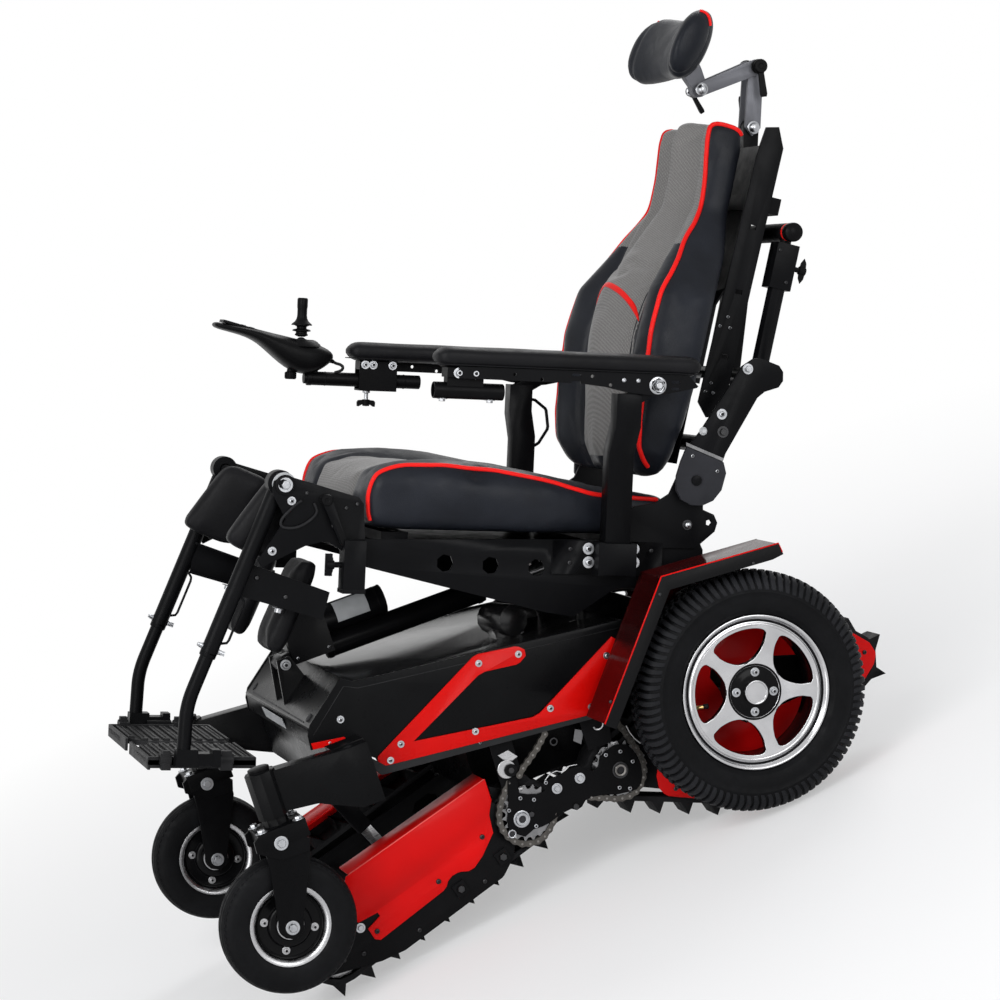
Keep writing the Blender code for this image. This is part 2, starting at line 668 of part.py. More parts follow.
def sprocket(x, teeth=8):
    """A toothed wheel with a hub, centred on the local origin."""
    outline = []
    for k in range(teeth):
        for share, radius in ((0.00, 0.0320), (0.40, 0.0388), (0.76, 0.0388)):
            angle = 2 * math.pi * (k + share) / teeth
            outline.append((radius * math.cos(angle), radius * math.sin(angle)))
    wheel = plate(outline, (x - 0.012, x + 0.012))
    return fuse(wheel, axle((0, 0), (x - 0.0300, x + 0.0255), 0.0150, 8))


def idler(x):
    """A plain roller with a hub, centred on the local origin."""
    return fuse(axle((0, 0), (x - 0.0200, x + 0.0200), 0.0388, 12),
                axle((0, 0), (x - 0.0255, x + 0.0255), 0.0170, 6))


def wheel_shaft(name, look, frame, wheel):
    """Two wheels on one shaft across the chair."""
    shaft = axle((0, 0), (-0.2088, 0.2088), 0.0100, 8)
    middle = (BELT_X[0] + BELT_X[1]) / 2
    near = wheel(middle)
    shaft = fuse(shaft, mirrored(near), near)
    part(name, flat_faces(shaft), look["steel"], frame, True)


def tracks(look, frame):
    front = pivot("front_tracks", frame, 0.0, FRONT_HUB, FRONT_TRACK_PITCH)
    drive = pivot("front_sprocket", front, 0.0, (0.0, 0.0))
    toe = pivot("front_idler", front, 0.0, (-FRONT_REACH, 0.0))
    wheel_shaft("front_sprocket_shaft", look, drive, sprocket)
    wheel_shaft("front_idler_shaft", look, toe, idler)
    outline, window, _ = belt_outline(FRONT_LOOP)
    pair("front_belt", plate(outline, BELT_X, [window]), look["belt"], (front, front))
    pair("front_cover", front_cover(), look["red"], (front, front))
    part("front_track_frame", front_frame(), look["track"], front)

    rear = pivot("rear_tracks", frame, 0.0, REAR_HUB)
    drive = pivot("rear_sprocket", rear, 0.0, (0.0, 0.0))
    tail = pivot("rear_idler", rear, 0.0, module_point(REAR_END))
    wheel_shaft("rear_sprocket_shaft", look, drive, sprocket)
    wheel_shaft("rear_idler_shaft", look, tail, idler)
    outline, window, _ = belt_outline(REAR_LOOP)
    pair("rear_belt", plate(outline, BELT_X, [window]), look["belt"], (rear, rear))
    pair("rear_cover", rear_cover(), look["red"], (rear, rear))
    part("rear_track_frame", rear_frame(), look["track"], rear)
    lift_strut(look, frame)


def forward(points):
    """Points measured forward along the front track and up from its centre line."""
    return [(-t, n) for t, n in points]


def front_frame():
    outer = [(0.388, -0.016), (0.300, -0.050), (0.263, -0.058), (0.083, -0.058), (0.053, -0.042),
             (0.024, -0.004), (0.034, 0.045), (0.060, 0.058), (0.282, 0.062), (0.330, 0.030),
             (0.388, 0.014)]
    inner = [(0.372, -0.020), (0.330, -0.034), (0.018, -0.028), (-0.016, -0.018), (-0.016, 0.018),
             (0.018, 0.028), (0.330, 0.034), (0.372, 0.020)]
    outer = rounded(forward(outer), [0, 0, 0.01, 0.01, 0, 0, 0.01, 0, 0.012, 0.01, 0], 1)
    inner = forward(inner)
    toe = circle((-FRONT_REACH, 0.0), 0.0114, 9)
    hub = circle((0.0, 0.0), 0.0114, 9)
    slots = [rounded(forward([(a, -0.014), (a + 0.046, -0.014), (a + 0.046, 0.014), (a, 0.014)]),
                     0.010, 1) for a in (0.052,)]
    side = plate(outer, (0.2012, 0.2042), [toe])
    for t, n in ((0.146, -0.032), (0.068, -0.031)):
        side = fuse(side, box((0.2025, 0.2085), (-t - 0.010, -t + 0.010), (n - 0.010, n + 0.010)))
    inner = plate(inner, (0.1400, 0.1440), [toe, hub] + slots)
    half = fuse(side, inner, axle((-0.252, 0.0), (0.1200, 0.2030), 0.0115, 8))
    tube = axle((-0.180, 0.0), (-0.2030, 0.2030), 0.0115, 9)
    link = axle((-0.252, 0.0), (-0.1300, 0.1300), 0.0135, 8)
    return flat_faces(fuse(link, half, mirrored(half), tube))


def front_cover():
    """The red side cover of a front track: scalloped lower edge, slotted nose, top flange."""
    edge = [(0.026, 0.081), (0.035, 0.049), (0.050, 0.033), (0.060, 0.007), (0.092, -0.012),
            (0.117, -0.021), (0.134, -0.010), (0.151, -0.008), (0.164, -0.019), (0.291, -0.022),
            (0.291, 0.003), (0.266, 0.0080), (0.266, 0.0145), (0.302, 0.020), (0.300, 0.060),
            (0.275, 0.0865)]
    radii = [0, 0, 0.01, 0, 0.02, 0.012, 0.012, 0.012, 0.012, 0.006, 0, 0, 0, 0.006, 0.02, 0]
    holes = [circle(point, 0.0042, 6) for point in forward([(0.282, -0.008), (0.167, -0.003),
                                                           (0.077, 0.012)])]
    sheet = plate(rounded(forward(edge), radii, 1), (0.2045, 0.2068), holes)
    flange = strip(forward([(0.0275, 0.0812), (0.270, 0.0868)]), 0.002)
    flange = plate(flange, (0.1475, 0.2058))
    return flat_faces(fuse(sheet, flange))


def axle_slot(half, first=3.0, last=24.0, steps=3):
    """The arc slot that lets a rear track swing past the drive axle."""
    run = Vector(module_point(AXLE))
    ring = []
    for radius, begin, end in ((run.length + half, first, last), (run.length - half, last, first)):
        for k in range(steps + 1):
            angle = math.radians(begin + (end - begin) * k / steps)
            ring.append((radius * math.cos(angle), radius * math.sin(angle)))
        angle = math.radians(end)
        across = Vector((-math.sin(angle), math.cos(angle))) * math.copysign(half, end - begin)
        ring.append((run.length * math.cos(angle) + across.x,
                     run.length * math.sin(angle) + across.y))
    return ring


def rear_frame():
    outline = [(-0.022, -0.014), (0.000, -0.026), (0.150, -0.100), (0.402, -0.008),
               (0.432, 0.026), (0.402, 0.062), (0.264, 0.138), (0.236, 0.138), (0.130, 0.096),
               (-0.014, 0.026)]
    outline = rounded(outline, [0.008, 0, 0.03, 0.02, 0.03, 0.02, 0.012, 0.012, 0, 0.008], 1)
    low = module_point(REAR_LOW)
    end = module_point(REAR_END)
    top = module_point(REAR_TOP)
    rear_window = rounded([(0.262, 0.002), (0.345, -0.004), (0.352, 0.020), (0.330, 0.060),
                           (0.264, 0.078)], [0.01, 0.01, 0, 0.01, 0.01], 1)
    lower_window = rounded([(0.060, -0.022), (0.128, -0.052), (0.164, -0.040), (0.166, 0.000),
                            (0.060, 0.030)], [0.01, 0, 0.01, 0.01, 0.01], 1)
    windows = [circle((0, 0), 0.0114, 9), circle(end, 0.0114, 9), axle_slot(0.0160),
               lower_window]
    left = plate(outline, (0.2012, 0.2042), windows + [rear_window])
    for point, radius in ((low, 0.0235), (top, 0.0255)):
        left = fuse(left, axle(point, (0.1420, 0.2030), 0.0100, 7),
                    axle(point, (0.1500, 0.1955), radius, 9))
    inner = [(-0.022, -0.014), (0.150, -0.100), (0.402, -0.008), (0.425, 0.030),
             (0.264, 0.138), (0.236, 0.138), (-0.014, 0.026)]
    left = fuse(left, plate(inner, (0.1400, 0.1440), windows[:3]))
    right = mirrored(left)
    cross = [axle(low, (-0.1430, 0.1430), 0.0120, 9),
             axle((0.365, 0.008), (-0.1430, 0.1430), 0.0120, 9)]
    return flat_faces(fuse(left, *cross, right))


def rear_cover():
    edge = [(0.053, -0.031), (0.051, -0.050), (0.058, -0.065), (0.078, -0.075), (0.128, -0.098),
            (0.158, -0.106), (0.180, -0.100), (0.410, -0.012), (0.440, 0.012), (0.444, 0.034),
            (0.408, 0.074), (0.272, 0.148), (0.240, 0.150), (0.122, 0.092)]
    edge = rounded(edge, [0, 0, 0.01, 0, 0, 0.02, 0, 0.02, 0.02, 0.02, 0.03, 0.02, 0.02, 0], 1)
    window = rounded([(0.262, 0.000), (0.352, 0.004), (0.352, 0.030), (0.330, 0.062),
                      (0.266, 0.082)], 0.010, 1)
    holes = [axle_slot(0.0175), circle(module_point(REAR_END), 0.0122, 9), window]
    return plate(edge, (0.2045, 0.2068), holes)


def lift_points():
    """The strut's upper pivot, the track pin it drives, and the pitch of the line between."""
    angle = math.radians(FRONT_TRACK_PITCH)
    pin = (FRONT_HUB[0] - 0.180 * math.cos(angle), FRONT_HUB[1] - 0.180 * math.sin(angle))
    run = Vector(pin) - Vector(LIFT_TOP)
    return pin, run.length, math.degrees(math.atan2(run.x, -run.y))


def lift_strut(look, frame):
    """The telescopic square strut between the front beam and the cross tube of the tracks."""
    _, reach, pitch = lift_points()
    strut = pivot("lift_strut", frame, 0.0, LIFT_TOP, pitch)
    slide = pivot("lift_slide", strut, 0.0, (0.0, -reach))
    body = rounded([(-0.0125, 0.0125), (-0.0125, -0.0980), (0.0125, -0.0980), (0.0125, 0.0125)],
                   [0.010, 0, 0, 0.010], 1)
    body = plate(body, (-0.0125, 0.0125))
    body = cut(body, box((-0.0098, 0.0098), (-0.0098, 0.0098), (-0.110, -0.0230)))
    pin = axle((0, 0), (-0.0225, 0.0225), 0.0054, 10)
    part("lift_tube", fuse(body, pin), look["actuator"], strut)
    eye = plate(circle((0, 0), 0.0202, 10), (-0.0110, 0.0110), [circle((0, 0), 0.0162, 10)])
    stem = box((-0.0090, 0.0090), (-0.0090, 0.0090), (0.0170, reach - 0.0735))
    part("lift_rod", fuse(eye, stem), look["steel"], slide)


def into_frame(point, origin, pitch):
    """A (y, z) point seen from a frame at an origin with a pitch, both in the outer frame."""
    angle = math.radians(-pitch)
    y = point[0] - origin[0]
    z = point[1] - origin[1]
    return (y * math.cos(angle) - z * math.sin(angle), y * math.sin(angle) + z * math.cos(angle))


def in_seat(point):
    return into_frame(point, SEAT_PIVOT, SEAT_PITCH)


def in_back(point):
    """A seat frame point in the back frame."""
    return into_frame(point, BACK_PIVOT, BACK_PITCH)


def in_leg(point):
    """A seat frame point in the leg frame."""
    return into_frame(point, LEG_PIVOT, LEG_PITCH)


def grid_box(counts):
    """A box from -1 to 1 with its faces split into a grid, finer towards the edges."""
    bm = bmesh.new()
    bmesh.ops.create_cube(bm, size=2.0)
    for k, count in enumerate(counts):
        along = [e for e in bm.edges if abs(e.verts[0].co[k] - e.verts[1].co[k]) > 1.0]
        bmesh.ops.subdivide_edges(bm, edges=along, cuts=count - 1, use_grid_fill=True)
    for vertex in bm.verts:
        vertex.co = Vector([math.sin(math.pi / 2 * value) for value in vertex.co])
    return bm


def padded(half, radius, counts, shape):
    """A soft block: a box with round edges, bent by a function of its -1 to 1 coordinates."""
    bm = grid_box(counts)
    half = Vector(half)
    for vertex in bm.verts:
        point = Vector([vertex.co[k] * half[k] for k in range(3)])
        core = Vector([max(-half[k] + radius, min(half[k] - radius, point[k])) for k in range(3)])
        out = point - core
        if out.length > 0:
            point = core + out.normalized() * radius
        vertex.co = Vector(shape(*[point[k] / half[k] for k in range(3)]))
    bmesh.ops.triangulate(bm, faces=bm.faces)
    bmesh.ops.recalc_face_normals(bm, faces=bm.faces)
    return from_bmesh(bm)


def between(value, table):
    """Smooth interpolation in a short table of (position, value) pairs."""
    if value <= table[0][0]:
        return table[0][1]
    for (a, low), (b, high) in zip(table, table[1:]):
        if value <= b:
            share = (value - a) / (b - a)
            return low + (high - low) * share * share * (3 - 2 * share)
    return table[-1][1]


TILT_LUG = (-0.150, 0.404)      # rear pivot of the tilt actuator, chassis frame


def seat_side():
    """The left side plate of the seat with its hanger, post, socket and rear bracket."""
    edge = [(-0.395, 0.0935), (-0.097, 0.1005), (0.128, 0.1030), (0.137, 0.085), (0.120, 0.045),
            (0.000, 0.030), (-0.063, -0.013), (-0.107, -0.007), (-0.395, 0.057)]
    edge = rounded(edge, [0, 0, 0, 0.012, 0, 0, 0, 0.04, 0], 1)
    holes = [circle(point, 0.0130, 7) for point in ((-0.262, 0.062), (-0.193, 0.060),
                                                    (-0.123, 0.058))]
    body = plate(edge, (0.2210, 0.2250), holes)
    hanger = [(-0.516, 0.186), (-0.387, 0.152), (-0.382, 0.090), (-0.405, 0.0700),
              (-0.440, 0.090), (-0.470, 0.082), (-0.532, 0.050), (-0.538, 0.060),
              (-0.500, 0.120), (-0.522, 0.158)]
    hanger = rounded(hanger, [0.016, 0.01, 0, 0, 0.01, 0, 0, 0, 0, 0.016], 1)
    hanger = plate(hanger, (0.2196, 0.2240))
    post = box((0.2090, 0.2410), (-0.416, -0.384), (0.018, 0.0925))
    knob = fuse(rod((0.2250, -0.4150, 0.056), (0.2250, -0.4330, 0.056), 0.0045, 5),
                box((0.2220, 0.2280), (-0.440, -0.430), (0.040, 0.072)))
    lever = fuse(axle((-0.443, 0.149), (0.2230, 0.2340), 0.0085, 6),
                 plate(link_outline((-0.443, 0.149), (-0.415, 0.086), 0.0075, 0.0050, 1),
                       (0.2315, 0.2355)))
    pin = axle(LEG_PIVOT, (0.1840, 0.2290), 0.0070, 8)
    body = fuse(body, hanger, post, knob, lever, pin)

    socket = box((0.2245, 0.2306), (-0.101, 0.069), (0.050, 0.1000))
    body = fuse(body, socket)
    for low, high in ((-0.0405, -0.0306), (0.0086, 0.0180)):
        body = fuse(body, box((0.2300, 0.2630), (low, high), (0.0505, 0.0995)))
    body = fuse(body, box((0.2597, 0.2640), (-0.0400, 0.0176), (0.0520, 0.0985)))

    rear = [(0.012, 0.0920), (0.012, 0.150), (0.055, 0.158), (0.076, 0.172), (0.095, 0.2160),
            (0.127, 0.2140), (0.130, 0.150), (0.156, 0.140), (0.150, 0.118), (0.120, 0.0920)]
    rear = rounded(rear, [0, 0.012, 0, 0, 0.014, 0.014, 0, 0.01, 0, 0], 1)
    rear = plate(rear, (0.2246, 0.2302), [circle((0.140, 0.131), 0.005, 5)])
    recline = axle(BACK_PIVOT, (0.2280, 0.2500), 0.0080, 9)
    return flat_faces(fuse(body, rear, recline))


def seat(look, frame):
    tilt = pivot("seat_tilt", frame, 0.0, SEAT_PIVOT, SEAT_PITCH)
    left = seat_side()
    right = mirrored(left)
    tray = box((-0.2220, 0.2220), (-0.3800, 0.1150), (0.0860, 0.0890))
    body = fuse(left, tray, right)
    body = fuse(body, box((-0.2220, 0.2220), (-0.357, -0.333), (0.062, 0.0875)),
                box((-0.1900, 0.1900), (-0.350, -0.310), (0.0880, 0.1032)),
                box((-0.1900, 0.1900), (0.010, 0.050), (0.0880, 0.1032)))
    lug = [(-0.034, 0.0870), (-0.012, -0.0145), (0.012, -0.0145), (0.052, 0.0870)]
    for low, high in ((0.1190, 0.1250), (-0.1250, -0.1190)):
        body = fuse(body, plate(lug, (low, high)))
    body = fuse(body, axle((0, 0), (-0.1290, 0.1290), 0.0080, 9))
    point = in_seat(TILT_LUG)
    ear = [(point[0] - 0.030, 0.0870), (point[0] - 0.009, point[1] - 0.011),
           (point[0] + 0.009, point[1] - 0.011), (point[0] + 0.034, 0.0870)]
    for low, high in ((0.0140, 0.0190), (-0.0190, -0.0140)):
        body = fuse(body, plate(ear, (low, high)))
    body = fuse(body, axle(point, (-0.0190, 0.0190), 0.0058, 8))
    part("seat_frame", flat_faces(body), look["seat"], tilt)
    part("seat_cushion", seat_cushion(), look["fabric"], tilt, True)
    tilt_actuator(look, frame)
    return tilt


SEAT_CROWN = [(-0.386, 0.170), (-0.360, 0.203), (-0.306, 0.214), (-0.231, 0.213),
              (-0.155, 0.206), (-0.093, 0.193), (-0.031, 0.179), (0.070, 0.172)]


def seat_cushion():
    """Raised side bolsters, a dished seat with a middle ridge and a rolled front edge."""
    def shape(u, v, w):
        y = -0.148 + 0.235 * v
        wide = between(y, [(-0.380, 0.2250), (-0.300, 0.2330), (-0.075, 0.2330), (-0.045, 0.2170),
                           (0.090, 0.2150)])
        top = between(y, SEAT_CROWN)
        dish = 0.020 * between(abs(u), [(0.0, 0.72), (0.12, 1.0), (0.45, 1.0), (0.72, 0.0)])
        top -= dish * between(y, [(-0.37, 0.2), (-0.26, 1.0), (0.06, 0.8)])
        share = (w + 1) / 2
        z = 0.1036 + (top - 0.1036) * share
        bulge = 1.0 - 0.025 * (2 * share - 1) ** 2
        return (u * wide * bulge, y + 0.006 * (share - 0.5) * v, z)

    return padded((0.233, 0.235, 0.052), 0.028, (10, 9, 3), shape)


def tilt_actuator(look, frame):
    run = Vector(TILT_LUG) - Vector(TILT_NOSE)
    body_frame = pivot("tilt_actuator", frame, 0.0, TILT_NOSE,
                       math.degrees(math.atan2(run.y, run.x)))
    slide = pivot("tilt_slide", body_frame, 0.0, (run.length, 0.0))
    shell = rod((0, 0.070, 0), (0, 0.330, 0), 0.0185, 12)
    gear = box((-0.0232, 0.0232), (0.014, 0.080), (-0.0060, 0.0640))
    motor = rod((0, 0.060, 0.040), (0, 0.178, 0.040), 0.0225, 12)
    eye = axle((0, 0), (-0.0225, 0.0225), 0.0120, 9)
    neck = box((-0.0100, 0.0100), (0.000, 0.030), (-0.0040, 0.0115))
    pin = axle((0, 0), (-0.0320, 0.0320), 0.0054, 8)
    shell = fuse(shell, gear, motor, eye, neck, pin)
    shell = cut(shell, rod((0, 0.130, 0), (0, 0.340, 0), 0.0125, 9))
    part("tilt_actuator_body", shell, look["actuator"], body_frame, True)
    eye = plate(circle((0, 0), 0.0140, 9), (-0.0110, 0.0110), [circle((0, 0), 0.0075, 9)])
    stem = rod((0, -0.260, 0), (0, -0.0120, 0), 0.0100, 10)
    part("tilt_actuator_rod", fuse(eye, stem), look["steel"], slide, True)


def back(look, tilt):
    recline = pivot("recline", tilt, 0.0, BACK_PIVOT, BACK_PITCH)
    part("back_frame", back_frame(), look["seat"], recline)
    part("back_cushion", back_cushion(), look["fabric"], recline, True)

    grip = pivot("push_slide", recline, 0.0, (0.100, 0.400))
    bar_body = rod((-0.165, 0, 0), (0.165, 0, 0), 0.0130, 12)
    for side in (1, -1):
        bar_body = fuse(bar_body, rod((side * 0.140, 0, 0.002), (side * 0.140, 0, -0.185),
                                      0.0088, 9))
    part("push_handle", bar_body, look["seat"], grip, True)

    lower_at = in_back((0.263, 0.735))
    upper_at = in_back((0.264, 0.829))
    rest_at = in_back((0.174, 0.788))
    lower = pivot("head_lower", recline, 0.0, lower_at)
    reach = (upper_at[0] - lower_at[0], upper_at[1] - lower_at[1])
    link = link_outline((0, 0), reach, 0.0130, 0.0120, 2)
    yoke = plate(link, (0.0105, 0.0150), [circle((0, 0), 0.0064, 7)])
    yoke = fuse(yoke, axle(reach, (-0.0125, 0.0125), 0.0085, 8))
    yoke = fuse(yoke, plate(link, (-0.0150, -0.0105), [circle((0, 0), 0.0064, 7)]),
                axle(reach, (-0.0235, 0.0235), 0.0052, 8))
    part("head_arm_lower", yoke, look["link"], lower)
    upper = pivot("head_upper", lower, 0.0, reach)
    reach = (rest_at[0] - upper_at[0], rest_at[1] - upper_at[1])
    link = link_outline((0, 0), reach, 0.0120, 0.0100, 2)
    arms = plate(link, (0.0155, 0.0200), [circle((0, 0), 0.0062, 7)])
    arms = fuse(arms, axle(reach, (-0.0160, 0.0160), 0.0072, 8))
    arms = fuse(arms, plate(link, (-0.0200, -0.0155), [circle((0, 0), 0.0062, 7)]))
    part("head_arm_upper", arms, look["link"], upper)
    rest = pivot("headrest", upper, 0.0, reach)
    part("headrest_cushion", headrest(rest_at), look["pad"], rest, True)


def back_frame():
    """Pan, perforated side rails, recline plates, mast, and the sockets of the push bar."""
    pan = strip([(-0.0030, 0.020), (-0.0030, 0.245), (0.0330, 0.340), (0.0330, 0.520)][::-1], 0.003)
    body = plate(pan, (-0.1500, 0.1500))
    rail = [(0.012, 0.118), (0.030, 0.098), (0.048, 0.104), (0.054, 0.118), (0.060, 0.520),
            (0.046, 0.550), (0.026, 0.545), (0.020, 0.500)]
    holes = []
    for k in range(3):
        middle = 0.190 + 0.100 * k
        holes.append([(0.033, middle), (0.044, middle), (0.044, middle + 0.007),
                      (0.033, middle + 0.007)])
    rail = plate(rail, (0.1480, 0.1520), holes)
    arm = [(0.081, 0.190), (0.094, 0.166), (0.130, 0.168), (0.146, 0.198), (0.158, 0.235),
           (0.208, 0.326), (0.244, 0.338), (0.243, 0.366), (0.200, 0.380), (0.178, 0.365),
           (0.118, 0.268), (0.094, 0.236)]
    arm = rounded([in_back(point) for point in arm],
                  [0.02, 0.02, 0.02, 0, 0, 0.02, 0.01, 0.01, 0.012, 0, 0.02, 0], 1)
    arm = plate(arm, (0.2345, 0.2395), [circle((0, 0), 0.0090, 9)])
    body = fuse(body, rail, mirrored(rail), axle((0.0110, 0.0553), (-0.2370, 0.2370), 0.0122, 8))

    # Upper cross tube, with the sockets of the push bar on it.
    cross = axle(in_back((0.226, 0.352)), (-0.2370, 0.2370), 0.0100, 8)
    socket = fuse(rod((0.140, 0.1010, 0.1610), (0.140, 0.1010, 0.330), 0.0140, 8),
                  box((0.1238, 0.1562), (0.0830, 0.1180), (0.312, 0.382)))
    socket = cut(socket, rod((0.140, 0.100, 0.200), (0.140, 0.100, 0.400), 0.0102, 8))
    cross = fuse(cross, mirrored(socket), socket, mirrored(arm), arm)
    mast = [(0.212, 0.344), (0.240, 0.335), (0.256, 0.354), (0.264, 0.462), (0.262, 0.582),
            (0.276, 0.690), (0.252, 0.690), (0.230, 0.582), (0.238, 0.462), (0.222, 0.366)]
    mast = plate([in_back(point) for point in mast], (-0.0280, 0.0280))
    tongue = [in_back(point) for point in ((0.252, 0.680), (0.275, 0.680), (0.275, 0.738),
                                           (0.270, 0.747), (0.256, 0.747), (0.251, 0.738))]
    return flat_faces(fuse(body, cross, mast, plate(tongue, (-0.0100, 0.0100)),
                           axle(in_back((0.263, 0.735)), (-0.0180, 0.0180), 0.0054, 7),
                           box((-0.1500, 0.1500), (0.0300, 0.0750), (0.4200, 0.4450))))


BACK_FRONT = [(-0.012, -0.078), (0.046, -0.102), (0.170, -0.117), (0.250, -0.117),
              (0.330, -0.084), (0.370, -0.052), (0.430, -0.044), (0.550, -0.058)]
BACK_REAR = [(-0.012, -0.022), (0.170, -0.0085), (0.235, -0.0075), (0.345, 0.012), (0.550, 0.016)]
BACK_WIDE = [(-0.012, 0.190), (0.050, 0.222), (0.240, 0.222), (0.330, 0.170), (0.380, 0.130),
             (0.550, 0.118)]


def back_cushion():
    """Wide winged lower back, lumbar crown in the middle, narrow upper back with a ridge."""
    def shape(u, v, w):
        z = 0.268 + 0.280 * w
        wide = between(z, BACK_WIDE)
        front = between(z, BACK_FRONT)
        rear = between(z, BACK_REAR)
        across = abs(u)
        hollow = 0.022 * between(across, [(0.25, 0.0), (0.40, 1.0), (0.62, 1.0), (0.85, 0.0)])
        crown = 0.010 * between(across, [(0.0, 1.0), (0.35, 0.0)])
        lumbar = between(z, [(0.05, -0.014), (0.22, 0.004), (0.34, 0.0)])
        front += hollow - crown - lumbar * between(across, [(0.2, 1.0), (0.5, 0.0)])
        share = (v + 1) / 2
        return (u * wide * (1.0 - 0.04 * (1 - share)), front + (rear - front) * share, z)

    return padded((0.200, 0.050, 0.280), 0.030, (10, 3, 12), shape)


def headrest(origin):
    """The saddle of the headrest on its pivot lug."""
    centre = in_back((0.137, 0.862))
    middle = (centre[0] - origin[0], centre[1] - origin[1])

    def shape(u, v, w):
        swell = between(abs(u), [(0.0, 0.86), (0.6, 1.0), (1.0, 0.92)])
        y = middle[0] + 0.070 * v - 0.026 * u * u + 0.020 * w
        z = middle[1] + 0.0480 * w * swell + 0.018 * v
        return (0.112 * u, y, z)

    body = padded((0.112, 0.068, 0.048), 0.034, (5, 5, 4), shape)
    lug = [(-0.0115, 0.000), (-0.0100, -0.0110), (0.0100, -0.0110), (0.0115, 0.000),
           (0.0115, 0.0400), (-0.0250, 0.0400)]
    lug = plate(lug, (-0.0080, 0.0080), [circle((0, 0), 0.0080, 8)])
    return fuse(body, lug)


ARM_PIVOT = (0.029, 0.332)      # armrest flip axis, seat frame
ARM_TUBE_X = 0.268              # tube under the armrest
STICK = (-0.377, 0.372)         # joystick pivot, seat frame


def arms(look, tilt):
    post = arm_post()
    twin = mirrored(post)
    loop = bent([(-0.0230, 0.012, 0.196), (-0.0230, 0.040, 0.192), (-0.0200, 0.052, 0.165),
                 (-0.0160, 0.046, 0.132), (-0.0060, 0.012, 0.112)], 0.020, 1)
    twin = fuse(twin, tube(loop, 0.0028, 1))
    posts = {"left": post, "right": twin}
    for side, name in ((1, "left"), (-1, "right")):
        lift = pivot(f"arm_slide_{name}", tilt, side * 0.2452, (-0.011, 0.100))
        part(f"arm_post_{name}", posts[name], look["seat"], lift)
        flip = pivot(f"arm_flip_{name}", lift, side * (0.2700 - 0.2452),
                     (ARM_PIVOT[0] + 0.011, ARM_PIVOT[1] - 0.100))
        part(f"armrest_{name}", armrest(side), look["pad"], flip, True)
    control = pivot("joystick_slide", flip, 0.2700 - ARM_TUBE_X,
                    (-0.377 - ARM_PIVOT[0], 0.315 - ARM_PIVOT[1]))
    part("joystick_box", joystick_box(), look["plastic"], control, True)
    stick = pivot("joystick", control, 0.0, (0.0, STICK[1] - 0.315))
    profile = [(0.0, 0.0700), (0.0100, 0.0690), (0.0145, 0.0600), (0.0120, 0.0500),
               (0.0070, 0.0440), (0.0060, 0.0300), (0.0115, 0.0240), (0.0045, 0.0050),
               (0.0, 0.0050)]
    lever = turned(profile, (0, 0, 0), 10, False)
    lever = place(lever, Matrix.Rotation(math.radians(-90), 4, "Y"))
    part("joystick_lever", lever, look["gloss"], stick, True)


def arm_post():
    """The left square post with its outward jog, in a frame at its socket."""
    edge = [(-0.0140, -0.042), (0.0140, -0.042), (0.0140, 0.130), (0.0388, 0.170),
            (0.0388, 0.218), (0.0108, 0.218), (0.0108, 0.176), (-0.0140, 0.136)]
    post = plate(edge, (-0.019, 0.019), axis="Y")
    ear = link_outline((-0.006, 0.205), (0.040, 0.232), 0.012, 0.0108, 2)
    return fuse(post, plate(ear, (0.0270, 0.0384)),
                axle((0.040, 0.232), (0.0300, 0.0460), 0.0070, 9),
                axle((0.040, 0.232), (0.0440, 0.0480), 0.0110, 6))


def armrest(side):
    """Pad, rail and the accessory tube or clamp, in a frame on the flip axis."""
    def shape(u, v, w):
        narrow = between(v, [(-1.0, 0.90), (-0.7, 1.0), (0.8, 1.0), (1.0, 0.94)])
        return (0.0290 * u * narrow - side * 0.005, -0.1305 + 0.2015 * v,
                0.0285 + 0.0155 * w * (1.0 - 0.08 * u * u))

    body = padded((0.029, 0.2015, 0.0155), 0.0120, (3, 5, 2), shape)
    rail = [(-0.300, 0.016), (0.047, 0.017), (0.063, 0.001), (-0.018, -0.014), (-0.080, -0.004),
            (-0.299, -0.001)]
    rail = rounded(rail, [0, 0, 0.004, 0.01, 0.04, 0.004], 1)
    rail = plate(rail, sorted((side * 0.0150, side * 0.0188)), [circle((0, 0), 0.0080, 9)])
    body = fuse(body, rail)
    x = side * (ARM_TUBE_X - 0.2700)
    if side > 0:
        clamp = box((x - 0.0150, x + 0.0175), (-0.316, -0.258), (-0.0150, 0.0180))
        body = fuse(body, clamp, rod((x, -0.332, -0.019), (x, -0.228, -0.019), 0.0120, 8))
    else:
        clamp = box((x - 0.0175, x + 0.0150), (-0.312, -0.250), (-0.0320, 0.0180))
        clamp = cut(clamp, rod((x, -0.330, -0.017), (x, -0.230, -0.017), 0.0132, 8))
        screw = rod((x, -0.296, -0.0310), (x, -0.296, -0.0500), 0.0040, 6)
        wing = box((x - 0.002, x + 0.002), (-0.309, -0.283), (-0.0590, -0.0480))
        body = fuse(body, clamp, screw, wing)
    return body


